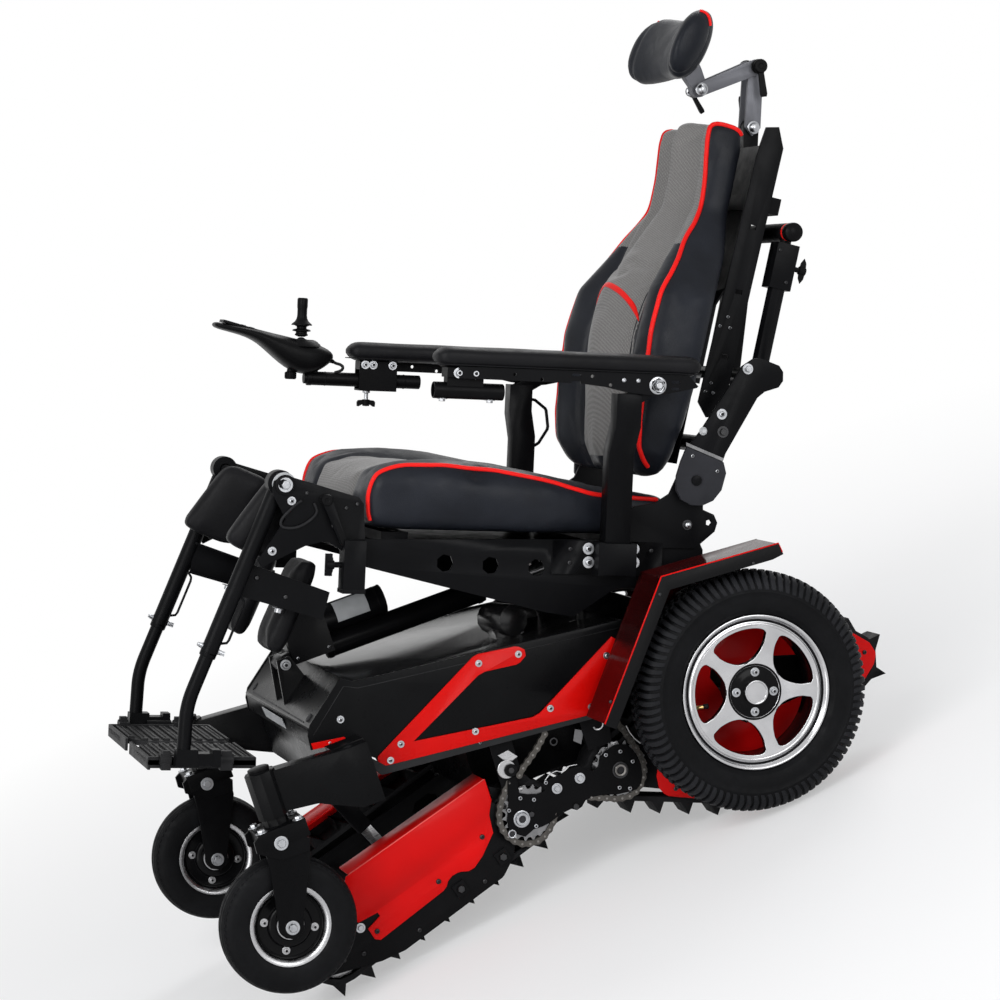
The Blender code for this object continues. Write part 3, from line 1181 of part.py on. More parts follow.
def joystick_box():
    """The controller: a long tapering body on its tube, with the boot under the stick."""
    origin = (-0.377, 0.315)
    edge = [(-0.519, 0.397), (-0.464, 0.391), (-0.400, 0.378), (-0.345, 0.366), (-0.325, 0.352),
            (-0.338, 0.336), (-0.381, 0.320), (-0.414, 0.334), (-0.463, 0.366), (-0.515, 0.389)]
    edge = [(y - origin[0], z - origin[1]) for y, z in edge]
    body = plate(edge, (-0.034, 0.034))
    for side in (1, -1):
        wedge = [(side * 0.0600, -0.150), (side * 0.0180, -0.150), (side * 0.0345, -0.055),
                 (side * 0.0350, -0.020), (side * 0.0600, -0.020)]
        body = cut(body, plate(wedge, (-0.010, 0.100), axis="Z"))
    boot = rod((0, 0, 0.0480), (0, 0, 0.0600), 0.0200, 8, 0.0140)
    pole = rod((0, 0.0110, 0.0), (0, 0.197, 0.0), 0.0110, 8)
    knob = rod((0, -0.015, 0.0140), (0, -0.015, -0.0020), 0.0090, 8, 0.0110)
    cable = bent([(0.010, 0.030, 0.030), (0.015, 0.052, 0.024), (0.012, 0.062, 0.012),
                  (0.003, 0.068, 0.0040)], 0.020, 1)
    return fuse(body, boot, pole, knob, tube(cable, 0.0026, 1))


def legs(look, tilt):
    names = ("left", "right")
    knees = [pivot(f"legrest_{name}", tilt, x, LEG_PIVOT, LEG_PITCH)
             for name, x in zip(names, (0.203, -0.203))]
    pair("leg_frame", leg_frame(), look["seat"], knees)
    pair("side_pad", side_pad(), look["pad"], knees, True)
    pair("calf_pad", calf_pad(), look["pad"], knees, True)
    flips = [pivot(f"footplate_hinge_{name}", knee, x, in_leg((-0.597, -0.231)), -LEG_PITCH)
             for name, knee, x in zip(names, knees, (-0.0175, 0.0175))]
    pair("footplate", footplate(), look["plastic"], flips)


def leg_frame():
    """Round tube with a telescoping foot section, pad brackets and the footplate knuckle."""
    end = in_leg((-0.631, -0.222))
    path = bent([(0, 0.0, -0.010), (0, 0.0, -0.340), (0, end[0], end[1])], 0.030, 1)
    body = tube(path, 0.0105, 1)
    collar = rod((0, 0, -0.190), (0, 0, -0.250), 0.0140, 8)
    knee = axle((0, 0), (-0.0130, 0.0130), 0.0190, 10)
    body = fuse(body, collar, knee)
    body = cut(body, axle((0, 0), (-0.0300, 0.0300), 0.0080, 8))
    upper = [in_leg(point) for point in ((-0.512, 0.150), (-0.470, 0.140), (-0.466, 0.120),
                                         (-0.524, 0.130))]
    body = fuse(body, plate(upper, (-0.0085, -0.0045)))
    shelf = [in_leg(point) for point in ((-0.553, 0.056), (-0.425, 0.013), (-0.434, -0.014),
                                         (-0.560, 0.004))]
    shelf = plate(rounded(shelf, 0.006, 1), (-0.0095, -0.0055))
    body = fuse(body, shelf)
    body = fuse(body, axle((0.1217, -0.132), (-0.0820, -0.0070), 0.0050, 6),
                axle((0.025, -0.030), (-0.0180, -0.0060), 0.0060, 6))
    hinge = in_leg((-0.597, -0.231))
    turn = Matrix.Translation((0, *hinge)) @ Matrix.Rotation(math.radians(-LEG_PITCH), 4, "X")
    knuckle = rod((-0.0175, -0.0190, 0), (-0.0175, 0.0190, 0), 0.0075, 7)
    block = box((-0.0140, 0.0120), (-0.0460, 0.0170), (-0.0060, 0.0160))
    return fuse(body, place(block, turn), place(knuckle, turn))


def side_pad():
    """The large rounded pad inside the upper leg tube."""
    middle = in_leg((-0.506, 0.117))

    def shape(u, v, w):
        lean = 0.012 * w
        return (-0.0400 + 0.0215 * u, middle[0] + 0.0440 * v * (1 - 0.10 * w) + lean,
                middle[1] + 0.0620 * w)

    body = padded((0.0215, 0.044, 0.062), 0.0190, (3, 3, 4), shape)
    return body


def calf_pad():
    """The smaller pad behind the calf, on the shelf of the leg frame."""
    middle = in_leg((-0.470, -0.012))

    def shape(u, v, w):
        return (-0.0720 + 0.0450 * u, middle[0] + 0.0170 * v - 0.010 * u * u,
                middle[1] + 0.0740 * w)

    body = padded((0.045, 0.017, 0.074), 0.0155, (4, 2, 4), shape)
    return body


def footplate():
    """The ribbed footplate, which flips up about its edge; knuckles at both ends."""
    edge = [(-0.0080, -0.080), (-0.1200, -0.080), (-0.1720, -0.050),
            (-0.1720, 0.078), (-0.0080, 0.078)]
    edge = rounded(edge, [0, 0.02, 0.02, 0.012, 0], 1)
    slots = []
    for k in range(2):
        y = -0.030 + 0.055 * k
        slots.append([(-0.0350, y), (-0.1300, y), (-0.1300, y + 0.006),
                      (-0.0350, y + 0.006)])
    body = plate(edge, (-0.0100, 0.0020), slots, axis="Z")
    rib = box((-0.1650, -0.0200), (-0.0050, 0.0040), (-0.0170, -0.0090))
    body = fuse(body, rib)
    for low, high in ((-0.0640, -0.0480), (0.0200, 0.0420)):
        body = fuse(body, rod((0, low, 0), (0, high, 0), 0.0075, 7),
                    box((-0.0160, 0.0), (low, high), (-0.0070, 0.0020)))
    return body


def turned_point(point, pitch, origin=(0.0, 0.0)):
    """A (y, z) point turned about X by a pitch in degrees and then moved to an origin."""
    angle = math.radians(pitch)
    return (origin[0] + point[0] * math.cos(angle) - point[1] * math.sin(angle),
            origin[1] + point[0] * math.sin(angle) + point[1] * math.cos(angle))


def stand_pitch():
    """The pitch at which a front lug and a rear lug both rest on a flat floor."""
    front = [turned_point(tip, FRONT_TRACK_PITCH, FRONT_HUB) for tip in belt_outline(FRONT_LOOP)[2]]
    rear = [turned_point(tip, 0.0, REAR_HUB) for tip in belt_outline(REAR_LOOP)[2]]
    steep = -12.0
    level = 0.0
    for _ in range(60):
        middle = (steep + level) / 2
        low_front = min(turned_point(tip, middle)[1] for tip in front)
        low_rear = min(turned_point(tip, middle)[1] for tip in rear)
        if low_front < low_rear:
            level = middle
        else:
            steep = middle
    return (steep + level) / 2


def stand(root):
    """Lifts the chair onto the floor and centres it over the origin."""
    bpy.context.view_layer.update()
    corners = [obj.matrix_world @ vertex.co for obj in bpy.data.objects if obj.type == "MESH"
               for vertex in obj.data.vertices]
    lows = [min(corner[k] for corner in corners) for k in range(3)]
    highs = [max(corner[k] for corner in corners) for k in range(3)]
    root.location = (-(lows[0] + highs[0]) / 2, -(lows[1] + highs[1]) / 2, -lows[2])
    bpy.context.view_layer.update()


def main():
    clear_scene()
    look = looks()
    root = pivot("wheelchair", None, 0.0, (0.0, 0.0), stand_pitch())
    chassis(look, root)
    wheels(look, root)
    tracks(look, root)
    tilt = seat(look, root)
    back(look, tilt)
    arms(look, tilt)
    legs(look, tilt)
    stand(root)


main()
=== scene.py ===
"""Looks of the stair climbing wheelchair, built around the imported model."""

import math

import bmesh
import bpy
import numpy as np
from mathutils import Matrix, Vector
from mathutils.bvhtree import BVHTree

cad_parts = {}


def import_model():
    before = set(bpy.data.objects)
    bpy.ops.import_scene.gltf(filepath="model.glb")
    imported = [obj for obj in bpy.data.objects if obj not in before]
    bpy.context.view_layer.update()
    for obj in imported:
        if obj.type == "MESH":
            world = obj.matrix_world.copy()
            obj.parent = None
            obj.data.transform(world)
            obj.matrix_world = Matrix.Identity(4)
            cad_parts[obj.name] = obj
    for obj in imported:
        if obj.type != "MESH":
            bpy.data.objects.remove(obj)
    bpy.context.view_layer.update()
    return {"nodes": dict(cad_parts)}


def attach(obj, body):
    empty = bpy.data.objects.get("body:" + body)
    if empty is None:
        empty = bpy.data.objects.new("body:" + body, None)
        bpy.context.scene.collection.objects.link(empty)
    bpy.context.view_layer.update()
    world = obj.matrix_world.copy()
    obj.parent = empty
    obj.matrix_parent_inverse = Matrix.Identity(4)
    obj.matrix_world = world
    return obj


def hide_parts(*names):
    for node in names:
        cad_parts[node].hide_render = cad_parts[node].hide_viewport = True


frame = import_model()
NODES = frame["nodes"]


def mm(*rows):
    """Rows of millimetres as tuples of metres."""
    return [tuple(value / 1000 for value in row) for row in rows]


def moved(matrix, x, y, z):
    """A frame moved along its own axes."""
    return matrix @ Matrix.Translation((x, y, z))


def turned(matrix, degrees, axis):
    """A frame turned about one of its own axes."""
    return matrix @ Matrix.Rotation(math.radians(degrees), 4, axis)


def outward(matrix, x, y, z, side):
    """A frame at a point of another, whose X looks towards +x for side 1 and -x for side -1."""
    spot = moved(matrix, x, y, z)
    return spot if side > 0 else turned(spot, 180, "Z")


def pitched(y, z, pitch, x=0.0):
    """A frame at (x, y, z), pitched about X by so many degrees."""
    return turned(Matrix.Translation((x, y, z)), pitch, "X")


def both(y, z, pitch, x):
    """The same frame on the left side, 1, and on the right side, -1."""
    return {side: pitched(y, z, pitch, side * x) for side in (1, -1)}


def placed(matrix, points, x=None):
    """World points for (x, y, z) points of a frame, or for (y, z) points at one x."""
    return [matrix @ Vector(point if x is None else (x, *point)) for point in points]


def flipped(profile, side):
    """A (radius, x) profile, mirrored for side -1."""
    return [(r, side * x) for r, x in profile]


# Pitch of the assemblies at rest, in degrees, and their frames, in metres.
CHASSIS_PITCH, SEAT_PITCH, BACK_PITCH = -3.9326, -24.8326, -34.9326
CHASSIS = pitched(0.18053, 0.00534, CHASSIS_PITCH)
SEAT = pitched(0.06486, 0.36412, SEAT_PITCH)
BACK = pitched(0.24707, 0.49357, BACK_PITCH)
HEAD = pitched(0.55371, 1.00619, BACK_PITCH)
LEG_X = 0.203
LEG = both(-0.32387, 0.73132, -45.6326, LEG_X)
FOOT = both(-0.57395, 0.4052, SEAT_PITCH, 0.1855)
ARM_X, CLAMP_X = 0.270, 0.268    # Middle of the arm rest and of its clamp.
FLIP = both(0.23061, 0.65324, SEAT_PITCH, ARM_X)
CONTROL = pitched(-0.14499, 0.80832, SEAT_PITCH, -CLAMP_X)
FRONT = pitched(-0.16644, 0.13444, 11.5674)
REAR = pitched(-0.01404, 0.13499, CHASSIS_PITCH)
WHEEL = both(0.19277, 0.18342, CHASSIS_PITCH, 0.29)
CASTER = both(-0.5648, 0.1568, CHASSIS_PITCH, 0.2735)
SWIVEL = both(-0.52462, 0.30441, CHASSIS_PITCH, 0.2735)
SIDE = {1: "left", -1: "right"}

# Distance from the middle plane, in metres, of the faces that carry fittings.
SKIRT_X, FENDER_X, BRACKET_X, CHAIN_X, SHAFT_X = 0.2247, 0.3352, 0.2146, 0.2108, 0.2124
FRONT_X, BOSS_X, SOCKET_X, BACK_X, HANGER_X = 0.2042, 0.2085, 0.2422, 0.2396, 0.224
DOWN = Vector((0, 0, -1))
SMALL_EDGE = (0.0002, 1, 45)    # How soften rounds small bolts.
SAME_POINT = 0.00002            # Points closer than this are welded.


def camera():
    """The photograph's view, which sees the chair pitched up as on a flight of stairs."""
    turn, rise = math.radians(16.5), math.radians(3.7)
    ahead = Vector((-math.cos(turn) * math.cos(rise), math.sin(turn) * math.cos(rise), -math.sin(rise)))
    right = Vector((math.sin(turn), math.cos(turn), 0.0))
    up = right.cross(ahead)
    pose = Matrix((right, up, -ahead)).transposed().to_4x4()
    distance = 4.6
    pose.translation = -ahead * distance
    photo = turned(moved(CHASSIS, 0.0, -0.197, 0.5255), -18.3, "X")
    data = bpy.data.cameras.new("camera")
    data.sensor_width = 36.0
    data.lens = 108.0
    data.clip_end = 60.0
    obj = link(bpy.data.objects.new("camera", data))
    obj.matrix_world = photo @ pose
    bpy.context.scene.camera = obj


# Node materials. Patterns use object coordinates, which stay with a piece when it moves.
class Nodes:
    def __init__(self, name):
        self.made = bpy.data.materials.new(name)
        self.made.use_nodes = True
        self.tree = self.made.node_tree
        self.shader = self.tree.nodes["Principled BSDF"]
        self.place = self.add("ShaderNodeTexCoord").outputs["Object"]

    def add(self, kind, **values):
        node = self.tree.nodes.new(kind)
        for key, value in values.items():
            if hasattr(node, key):
                setattr(node, key, value)
            else:
                node.inputs[key.replace("_", " ")].default_value = value
        return node

    def link(self, out, into):
        self.tree.links.new(out, into)

    def scaled(self, scale, turn=(0.0, 0.0, 0.0), start=None):
        node = self.add("ShaderNodeMapping")
        node.inputs["Scale"].default_value = scale
        node.inputs["Rotation"].default_value = turn
        self.link(start or self.place, node.inputs["Vector"])
        return node.outputs["Vector"]

    def noise(self, scale, detail=2.0, rough=0.5, place=None):
        node = self.add("ShaderNodeTexNoise", Scale=scale, Detail=detail, Roughness=rough)
        self.link(place or self.place, node.inputs["Vector"])
        return node.outputs["Fac"]

    def cells(self, scale, place=None, feature="F1"):
        node = self.add("ShaderNodeTexVoronoi", feature=feature, Scale=scale)
        self.link(place or self.place, node.inputs["Vector"])
        return node.outputs["Distance"]

    def math(self, operation, a, b=None, clamp=False):
        node = self.add("ShaderNodeMath", operation=operation, use_clamp=clamp)
        for socket, value in zip(node.inputs, (a, b)):
            if value is None:
                continue
            if hasattr(value, "is_linked"):
                self.link(value, socket)
            else:
                socket.default_value = value
        return node.outputs[0]

    def span(self, value, low, high, to_low=0.0, to_high=1.0):
        node = self.add("ShaderNodeMapRange", clamp=True)
        self.link(value, node.inputs[0])
        for k, number in enumerate((low, high, to_low, to_high)):
            node.inputs[k + 1].default_value = number
        return node.outputs[0]

    def mix(self, factor, a, b):
        node = self.add("ShaderNodeMix", data_type="RGBA")
        if hasattr(factor, "is_linked"):
            self.link(factor, node.inputs[0])
        else:
            node.inputs[0].default_value = factor
        for socket, value in ((node.inputs[6], a), (node.inputs[7], b)):
            if hasattr(value, "is_linked"):
                self.link(value, socket)
            else:
                socket.default_value = (*value, 1.0)
        return node.outputs[2]

    def bump(self, height, distance, strength=1.0, after=None):
        node = self.add("ShaderNodeBump", Strength=strength, Distance=distance)
        self.link(height, node.inputs["Height"])
        if after:
            self.link(after, node.inputs["Normal"])
        return node.outputs["Normal"]

    def finish(self, colour, rough, normal=None, **numbers):
        for socket, value in (("Base Color", colour), ("Roughness", rough)):
            if hasattr(value, "is_linked"):
                self.link(value, self.shader.inputs[socket])
            else:
                self.shader.inputs[socket].default_value = value if socket == "Roughness" else (*value,
                        1.0)
        if normal:
            self.link(normal, self.shader.inputs["Normal"])
        for key, value in numbers.items():
            self.shader.inputs[key.replace("_", " ")].default_value = value
        return self.made


def shade(colour, factor):
    return tuple((min(1.0, channel * factor) for channel in colour))


def powder(name, colour, rough=0.42, metallic=0.0, grain=0.00012, coat=0.0, level=0.055, spread=1.0):
    """Powder coat or moulded plastic: a fine orange peel, faint dust and handling marks."""
    n = Nodes(name)
    dust = n.span(n.noise(9.0, 4.0, 0.6), 0.45, 0.75)
    base = n.mix(dust, shade(colour, 0.86), shade(colour, 1.28))
    gloss = n.span(n.noise(38.0, 5.0, 0.65), 0.3, 0.7, rough - 0.07 * spread, rough + 0.09 * spread)
    peel = n.bump(n.noise(620.0, 2.0), grain)
    return n.finish(base, gloss, peel, Metallic=metallic, Coat_Weight=coat, Coat_Roughness=0.12,
            Specular_IOR_Level=level)


def gloss_paint(name, colour, rough=0.25):
    n = Nodes(name)
    tone = n.span(n.noise(5.0, 3.0, 0.55), 0.35, 0.7)
    base = n.mix(tone, shade(colour, 0.86), shade(colour, 1.1))
    gloss = n.span(n.noise(55.0, 4.0, 0.6), 0.3, 0.75, rough, rough + 0.12)
    peel = n.bump(n.noise(260.0, 2.0), 0.0001)
    return n.finish(base, gloss, peel, Coat_Weight=0.03, Coat_Roughness=0.08, Specular_IOR_Level=0.09)


def metal(name, colour, rough=0.28, streak=(1.0, 1.0, 30.0)):
    n = Nodes(name)
    lines = n.noise(60.0, 4.0, 0.7, n.scaled(streak))
    base = n.mix(n.span(lines, 0.3, 0.7), shade(colour, 0.8), shade(colour, 1.12))
    gloss = n.span(lines, 0.3, 0.75, rough - 0.06, rough + 0.14)
    return n.finish(base, gloss, n.bump(lines, 0.00006), Metallic=1.0)


def rubber(name, colour=(0.020, 0.020, 0.021), rough=0.62):
    n = Nodes(name)
    dust = n.span(n.noise(16.0, 5.0, 0.65), 0.42, 0.78)
    base = n.mix(dust, colour, shade(colour, 1.9))
    gloss = n.span(n.noise(90.0, 3.0), 0.3, 0.7, rough - 0.1, rough + 0.14)
    skin = n.bump(n.noise(480.0, 3.0), 0.00022)
    return n.finish(base, gloss, skin, Specular_IOR_Level=0.07)


def leather(name, colour=(0.011, 0.011, 0.012), rough=0.36):
    """Pebbled upholstery leather: cells with creases between them and a few soft wrinkles."""
    n = Nodes(name)
    place = n.scaled((1.0, 1.0, 1.0))
    pebble = n.cells(620.0, place)
    pebble = n.span(pebble, 0.0, 0.55, 1.0, 0.0)
    wrinkle = n.noise(34.0, 3.0, 0.55)
    base = n.mix(n.span(n.noise(12.0, 4.0), 0.35, 0.7), shade(colour, 0.85), shade(colour, 1.5))
    gloss = n.span(n.noise(26.0, 4.0), 0.3, 0.7, rough - 0.05, rough + 0.13)
    normal = n.bump(wrinkle, 0.001, 0.55)
    normal = n.bump(pebble, 0.00022, 0.55, normal)
    return n.finish(base, gloss, normal, Specular_IOR_Level=0.11)


def knit(name, colour=(0.082, 0.082, 0.086), rough=0.72):
    """Spacer knit: rows of small stitches in two directions, with a faint heather."""
    n = Nodes(name)
    rows = []
    for turn in ((0.0, 0.0, 0.0), (0.0, 0.0, math.radians(90))):
        wave = n.add("ShaderNodeTexWave", Scale=115.0, Distortion=0.6, Detail=1.0)
        wave.inputs["Detail Scale"].default_value = 30.0
        n.link(n.scaled((1.0, 1.0, 0.55), turn), wave.inputs["Vector"])
        rows.append(wave.outputs["Fac"])
    weave = n.math("MULTIPLY", rows[0], rows[1])
    fleck = n.noise(700.0, 2.0)
    base = n.mix(n.span(weave, 0.1, 0.9), shade(colour, 0.7), shade(colour, 1.2))
    base = n.mix(n.span(fleck, 0.45, 0.7, 0.0, 0.35), base, shade(colour, 1.7))
    normal = n.bump(weave, 0.00035, 0.7)
    normal = n.bump(n.noise(24.0, 3.0), 0.0012, 0.4, normal)
    return n.finish(base, rough, normal, Sheen_Weight=0.25, Sheen_Roughness=0.4, Specular_IOR_Level=0.2)


def link(obj):
    bpy.context.scene.collection.objects.link(obj)
    return obj


def from_form(name, bm):
    """An object with the faces of a bmesh, which is used up."""
    mesh = bpy.data.meshes.new(name)
    bm.to_mesh(mesh)
    bm.free()
    return link(bpy.data.objects.new(name, mesh))


def from_bmesh(name, bm, looks, body, smooth=True, edge=None):
    """A finished piece in world coordinates that rides on a body. An edge goes to soften."""
    bmesh.ops.recalc_face_normals(bm, faces=bm.faces)
    obj = from_form(name, bm)
    for look in looks.split():
        obj.data.materials.append(LOOK[look])
    if smooth:
        obj.data.shade_smooth()
    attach(obj, body)
    if edge:
        soften(obj, *edge)
    return obj


def join_rings(bm, rings, index=0, caps=True):
    """Faces between closed rings of points, and over both ends."""
    for a, b in zip(rings, rings[1:]):
        for k in range(len(a)):
            m = (k + 1) % len(a)
            bm.faces.new((a[k], a[m], b[m], b[k])).material_index = index
    if caps:
        bm.faces.new(rings[0][::-1]).material_index = index
        bm.faces.new(rings[-1]).material_index = index


def oval(angle, power, half_x, half_y):
    """A point of a rounded rectangle; a lower power has squarer corners."""
    c, s = math.cos(angle), math.sin(angle)
    of_x, of_y = power if hasattr(power, "__len__") else (power, power)
    return half_x * math.copysign(abs(c) ** of_x, c), half_y * math.copysign(abs(s) ** of_y, s)


def modify(obj, name, kind, **values):
    """A modifier with its settings."""
    made = obj.modifiers.new(name, kind)
    for key, value in values.items():
        setattr(made, key, value)


def bevel(obj, width, segments, angle):
    """Rounds the edges that are sharper than an angle in degrees."""
    modify(obj, "edge", "BEVEL", width=width, segments=segments, limit_method="ANGLE",
           angle_limit=math.radians(angle), harden_normals=True)


def soften(obj, width=0.0008, segments=2, angle=38.0):
    """Rounded edges with clean shading."""
    obj.data.shade_smooth()
    modify(obj, "weld", "WELD", merge_threshold=SAME_POINT)
    bevel(obj, width, segments, angle)


def add_lathe(bm, profile, matrix, steps=48, index=0, closed=False):
    """Turns (radius, x) points about the X axis of a frame. Points at radius 0 close it."""
    rings = []
    for radius, x in profile:
        points = circle(radius, steps) if radius > 0 else [(0.0, 0.0)]
        rings.append([bm.verts.new(point) for point in placed(matrix, points, x)])
    pairs = list(zip(rings, rings[1:])) + ([(rings[-1], rings[0])] if closed else [])
    for a, b in pairs:
        for k in range(steps):
            m = (k + 1) % steps
            corners = [a[k % len(a)], a[m % len(a)], b[m % len(b)], b[k % len(b)]]
            corners = [v for j, v in enumerate(corners) if v not in corners[:j]]
            if len(corners) > 2:
                bm.faces.new(corners).material_index = index


def add_box(bm, low, high, matrix, index=0, taper=1.0):
    """A box between two corners of a frame, whose +z face may be narrower."""
    verts = []
    for z in (low[2], high[2]):
        share = taper if z == high[2] else 1.0
        middle = [(a + b) / 2 for a, b in zip(low, high)]
        for x, y in ((low[0], low[1]), (high[0], low[1]), (high[0], high[1]), (low[0], high[1])):
            point = (middle[0] + (x - middle[0]) * share, middle[1] + (y - middle[1]) * share, z)
            verts.append(bm.verts.new(matrix @ Vector(point)))
    for corners in ((3, 2, 1, 0), (4, 5, 6, 7), (0, 1, 5, 4), (1, 2, 6, 5), (2, 3, 7, 6), (3, 0, 4, 7)):
        bm.faces.new([verts[k] for k in corners]).material_index = index


def add_plate(bm, points, low, high, matrix, index=0, shrink=1.0):
    """A (y, z) outline of a frame, thick along its X; the far face may be smaller."""
    low, high = sorted((low, high))
    cy, cz = (sum(values) / len(points) for values in zip(*points))
    small = [(cy + (y - cy) * shrink, cz + (z - cz) * shrink) for y, z in points]
    a = [bm.verts.new(point) for point in placed(matrix, points, low)]
    b = [bm.verts.new(point) for point in placed(matrix, small, high)]
    bm.faces.new(a[::-1]).material_index = index
    bm.faces.new(b).material_index = index
    join_rings(bm, (a, b), index, False)


def add_tube(bm, path, radius, sides=12, index=0, caps=True):
    """A round tube along world points, whose radius may change along it."""
    path = [Vector(p) for p in path]
    count = len(path)
    radii = list(radius) if hasattr(radius, "__len__") else [radius] * count
    rings = []
    normal = None
    for k, point in enumerate(path):
        ahead = (path[min(k + 1, count - 1)] - path[max(k - 1, 0)]).normalized()
        if normal is None:
            normal = ahead.orthogonal().normalized()
        normal = (normal - ahead * normal.dot(ahead)).normalized()
        side = ahead.cross(normal)
        rings.append([bm.verts.new(point + (normal * math.cos(a) + side * math.sin(a)) * radii[k])
                for a in (2 * math.pi * j / sides for j in range(sides))])
    join_rings(bm, rings, index, caps)


def curve_through(points, steps):
    """A smooth path through points, by Catmull-Rom."""
    pts = [Vector(p) for p in points]
    count = len(pts)
    out = []
    for k in range(count - 1):
        p0, p1, p2, p3 = pts[max(k - 1, 0)], pts[k], pts[k + 1], pts[min(k + 2, count - 1)]
        for j in range(steps):
            t = j / steps
            out.append(0.5 * (2 * p1 + (p2 - p0) * t + (2 * p0 - 5 * p1 + 4 * p2 - p3) * t * t
                    + (3 * p1 - p0 - 3 * p2 + p3) * t ** 3))
    return out + [pts[-1]]


def circle(radius, count, first=0.0):
    """Points spaced evenly on a circle, the first at an angle in degrees."""
    angles = [math.radians(first + 360 * k / count) for k in range(count)]
    return [(radius * math.cos(a), radius * math.sin(a)) for a in angles]


def facing(point, axis):
    """A frame at a world point whose X looks along an axis."""
    axis = Vector(axis).normalized()
    return Matrix.Translation(point) @ axis.to_track_quat("X", "Z").to_matrix().to_4x4()


def add_bolt(bm, matrix, radius=0.0045, kind="button", washer=True, index=0, dark=1):
    """A bolt head that looks along +X of its frame, seated at its origin."""
    base = 0.001 if washer else 0.0
    if washer:
        plate = ((0.0, -0.0002), (1.75, -0.0002), (1.8, 0.0004), (1.72, base), (0.0, base))
        add_lathe(bm, [(radius * r, x) for r, x in plate], matrix, 20, index)

    def sized(*rows):
        return [(radius * r, base + radius * x) for r, x in rows]

    if kind == "hex":
        add_lathe(bm, sized((0.0, 0.0), (1.12, 0.0), (1.12, 0.62), (0.98, 0.78), (0.0, 0.78)), matrix,
                6, index)
        return
    if kind == "cap":
        rows = ((0.0, 0.0), (1.0, 0.0), (1.0, 0.95), (0.86, 1.1), (0.52, 1.1))
    else:
        rows = ((0.0, 0.0), (1.0, 0.0), (1.0, 0.12), (0.88, 0.42), (0.66, 0.6), (0.5, 0.64))
    add_lathe(bm, sized(*rows), matrix, 20, index)
    # Its socket.
    outer, top = rows[-1]
    add_lathe(bm, sized((outer, top), (outer * 0.92, top - 0.4), (0.0, top - 0.42)), matrix, 20, dark)


def weld_copy(node, shrink):
    """A welded and shrunk copy of a CAD node's mesh, in world coordinates."""
    bm = bmesh.new()
    bm.from_mesh(NODES[node].data)
    bmesh.ops.remove_doubles(bm, verts=bm.verts, dist=SAME_POINT)
    bmesh.ops.recalc_face_normals(bm, faces=bm.faces)
    bm.normal_update()
    for vert in bm.verts:
        vert.co -= vert.normal * shrink
    return bm


def baked(obj):
    """Applies every modifier."""
    bpy.context.view_layer.update()
    graph = bpy.context.evaluated_depsgraph_get()
    mesh = bpy.data.meshes.new_from_object(obj.evaluated_get(graph))
    obj.modifiers.clear()
    obj.data = mesh
    return obj


RING_WAVES = 9000.0    # Machined rings, in radians per metre of radius.
FLANGE_X = 0.3306      # Where the outer flange of the wheel cover starts.


def machined(name, colour=(0.50, 0.50, 0.51), rough=0.20):
    """Diamond-turned aluminium: fine rings round the wheel's own axle."""
    n = Nodes(name)
    radius = n.add("ShaderNodeAttribute", attribute_name="radius").outputs["Fac"]
    rings = n.math("SINE", n.math("MULTIPLY", radius, RING_WAVES))
    tone = n.noise(22.0, 3.0)
    base = n.mix(n.span(tone, 0.3, 0.7), shade(colour, 0.9), shade(colour, 1.08))
    gloss = n.span(tone, 0.3, 0.75, rough - 0.04, rough + 0.12)
    return n.finish(base, gloss, n.bump(rings, 0.000012, 0.5), Metallic=1.0)


def fender_paint(name, red, edge):
    """Dark gloss red, with a satin black outer flange."""
    n = Nodes(name)
    parts = n.add("ShaderNodeSeparateXYZ")
    n.link(n.place, parts.inputs[0])
    flange = n.math("GREATER_THAN", n.math("ABSOLUTE", parts.outputs[0]), FLANGE_X)
    tone = n.span(n.noise(5.0, 3.0, 0.55), 0.35, 0.7)
    base = n.mix(flange, n.mix(tone, shade(red, 0.85), shade(red, 1.15)), edge)
    gloss = n.math("ADD", n.span(n.noise(55.0, 4.0, 0.6), 0.3, 0.75, 0.16, 0.26),
            n.math("MULTIPLY", flange, 0.22))
    return n.finish(base, gloss, n.bump(n.noise(260.0, 2.0), 0.0001), Specular_IOR_Level=0.09)


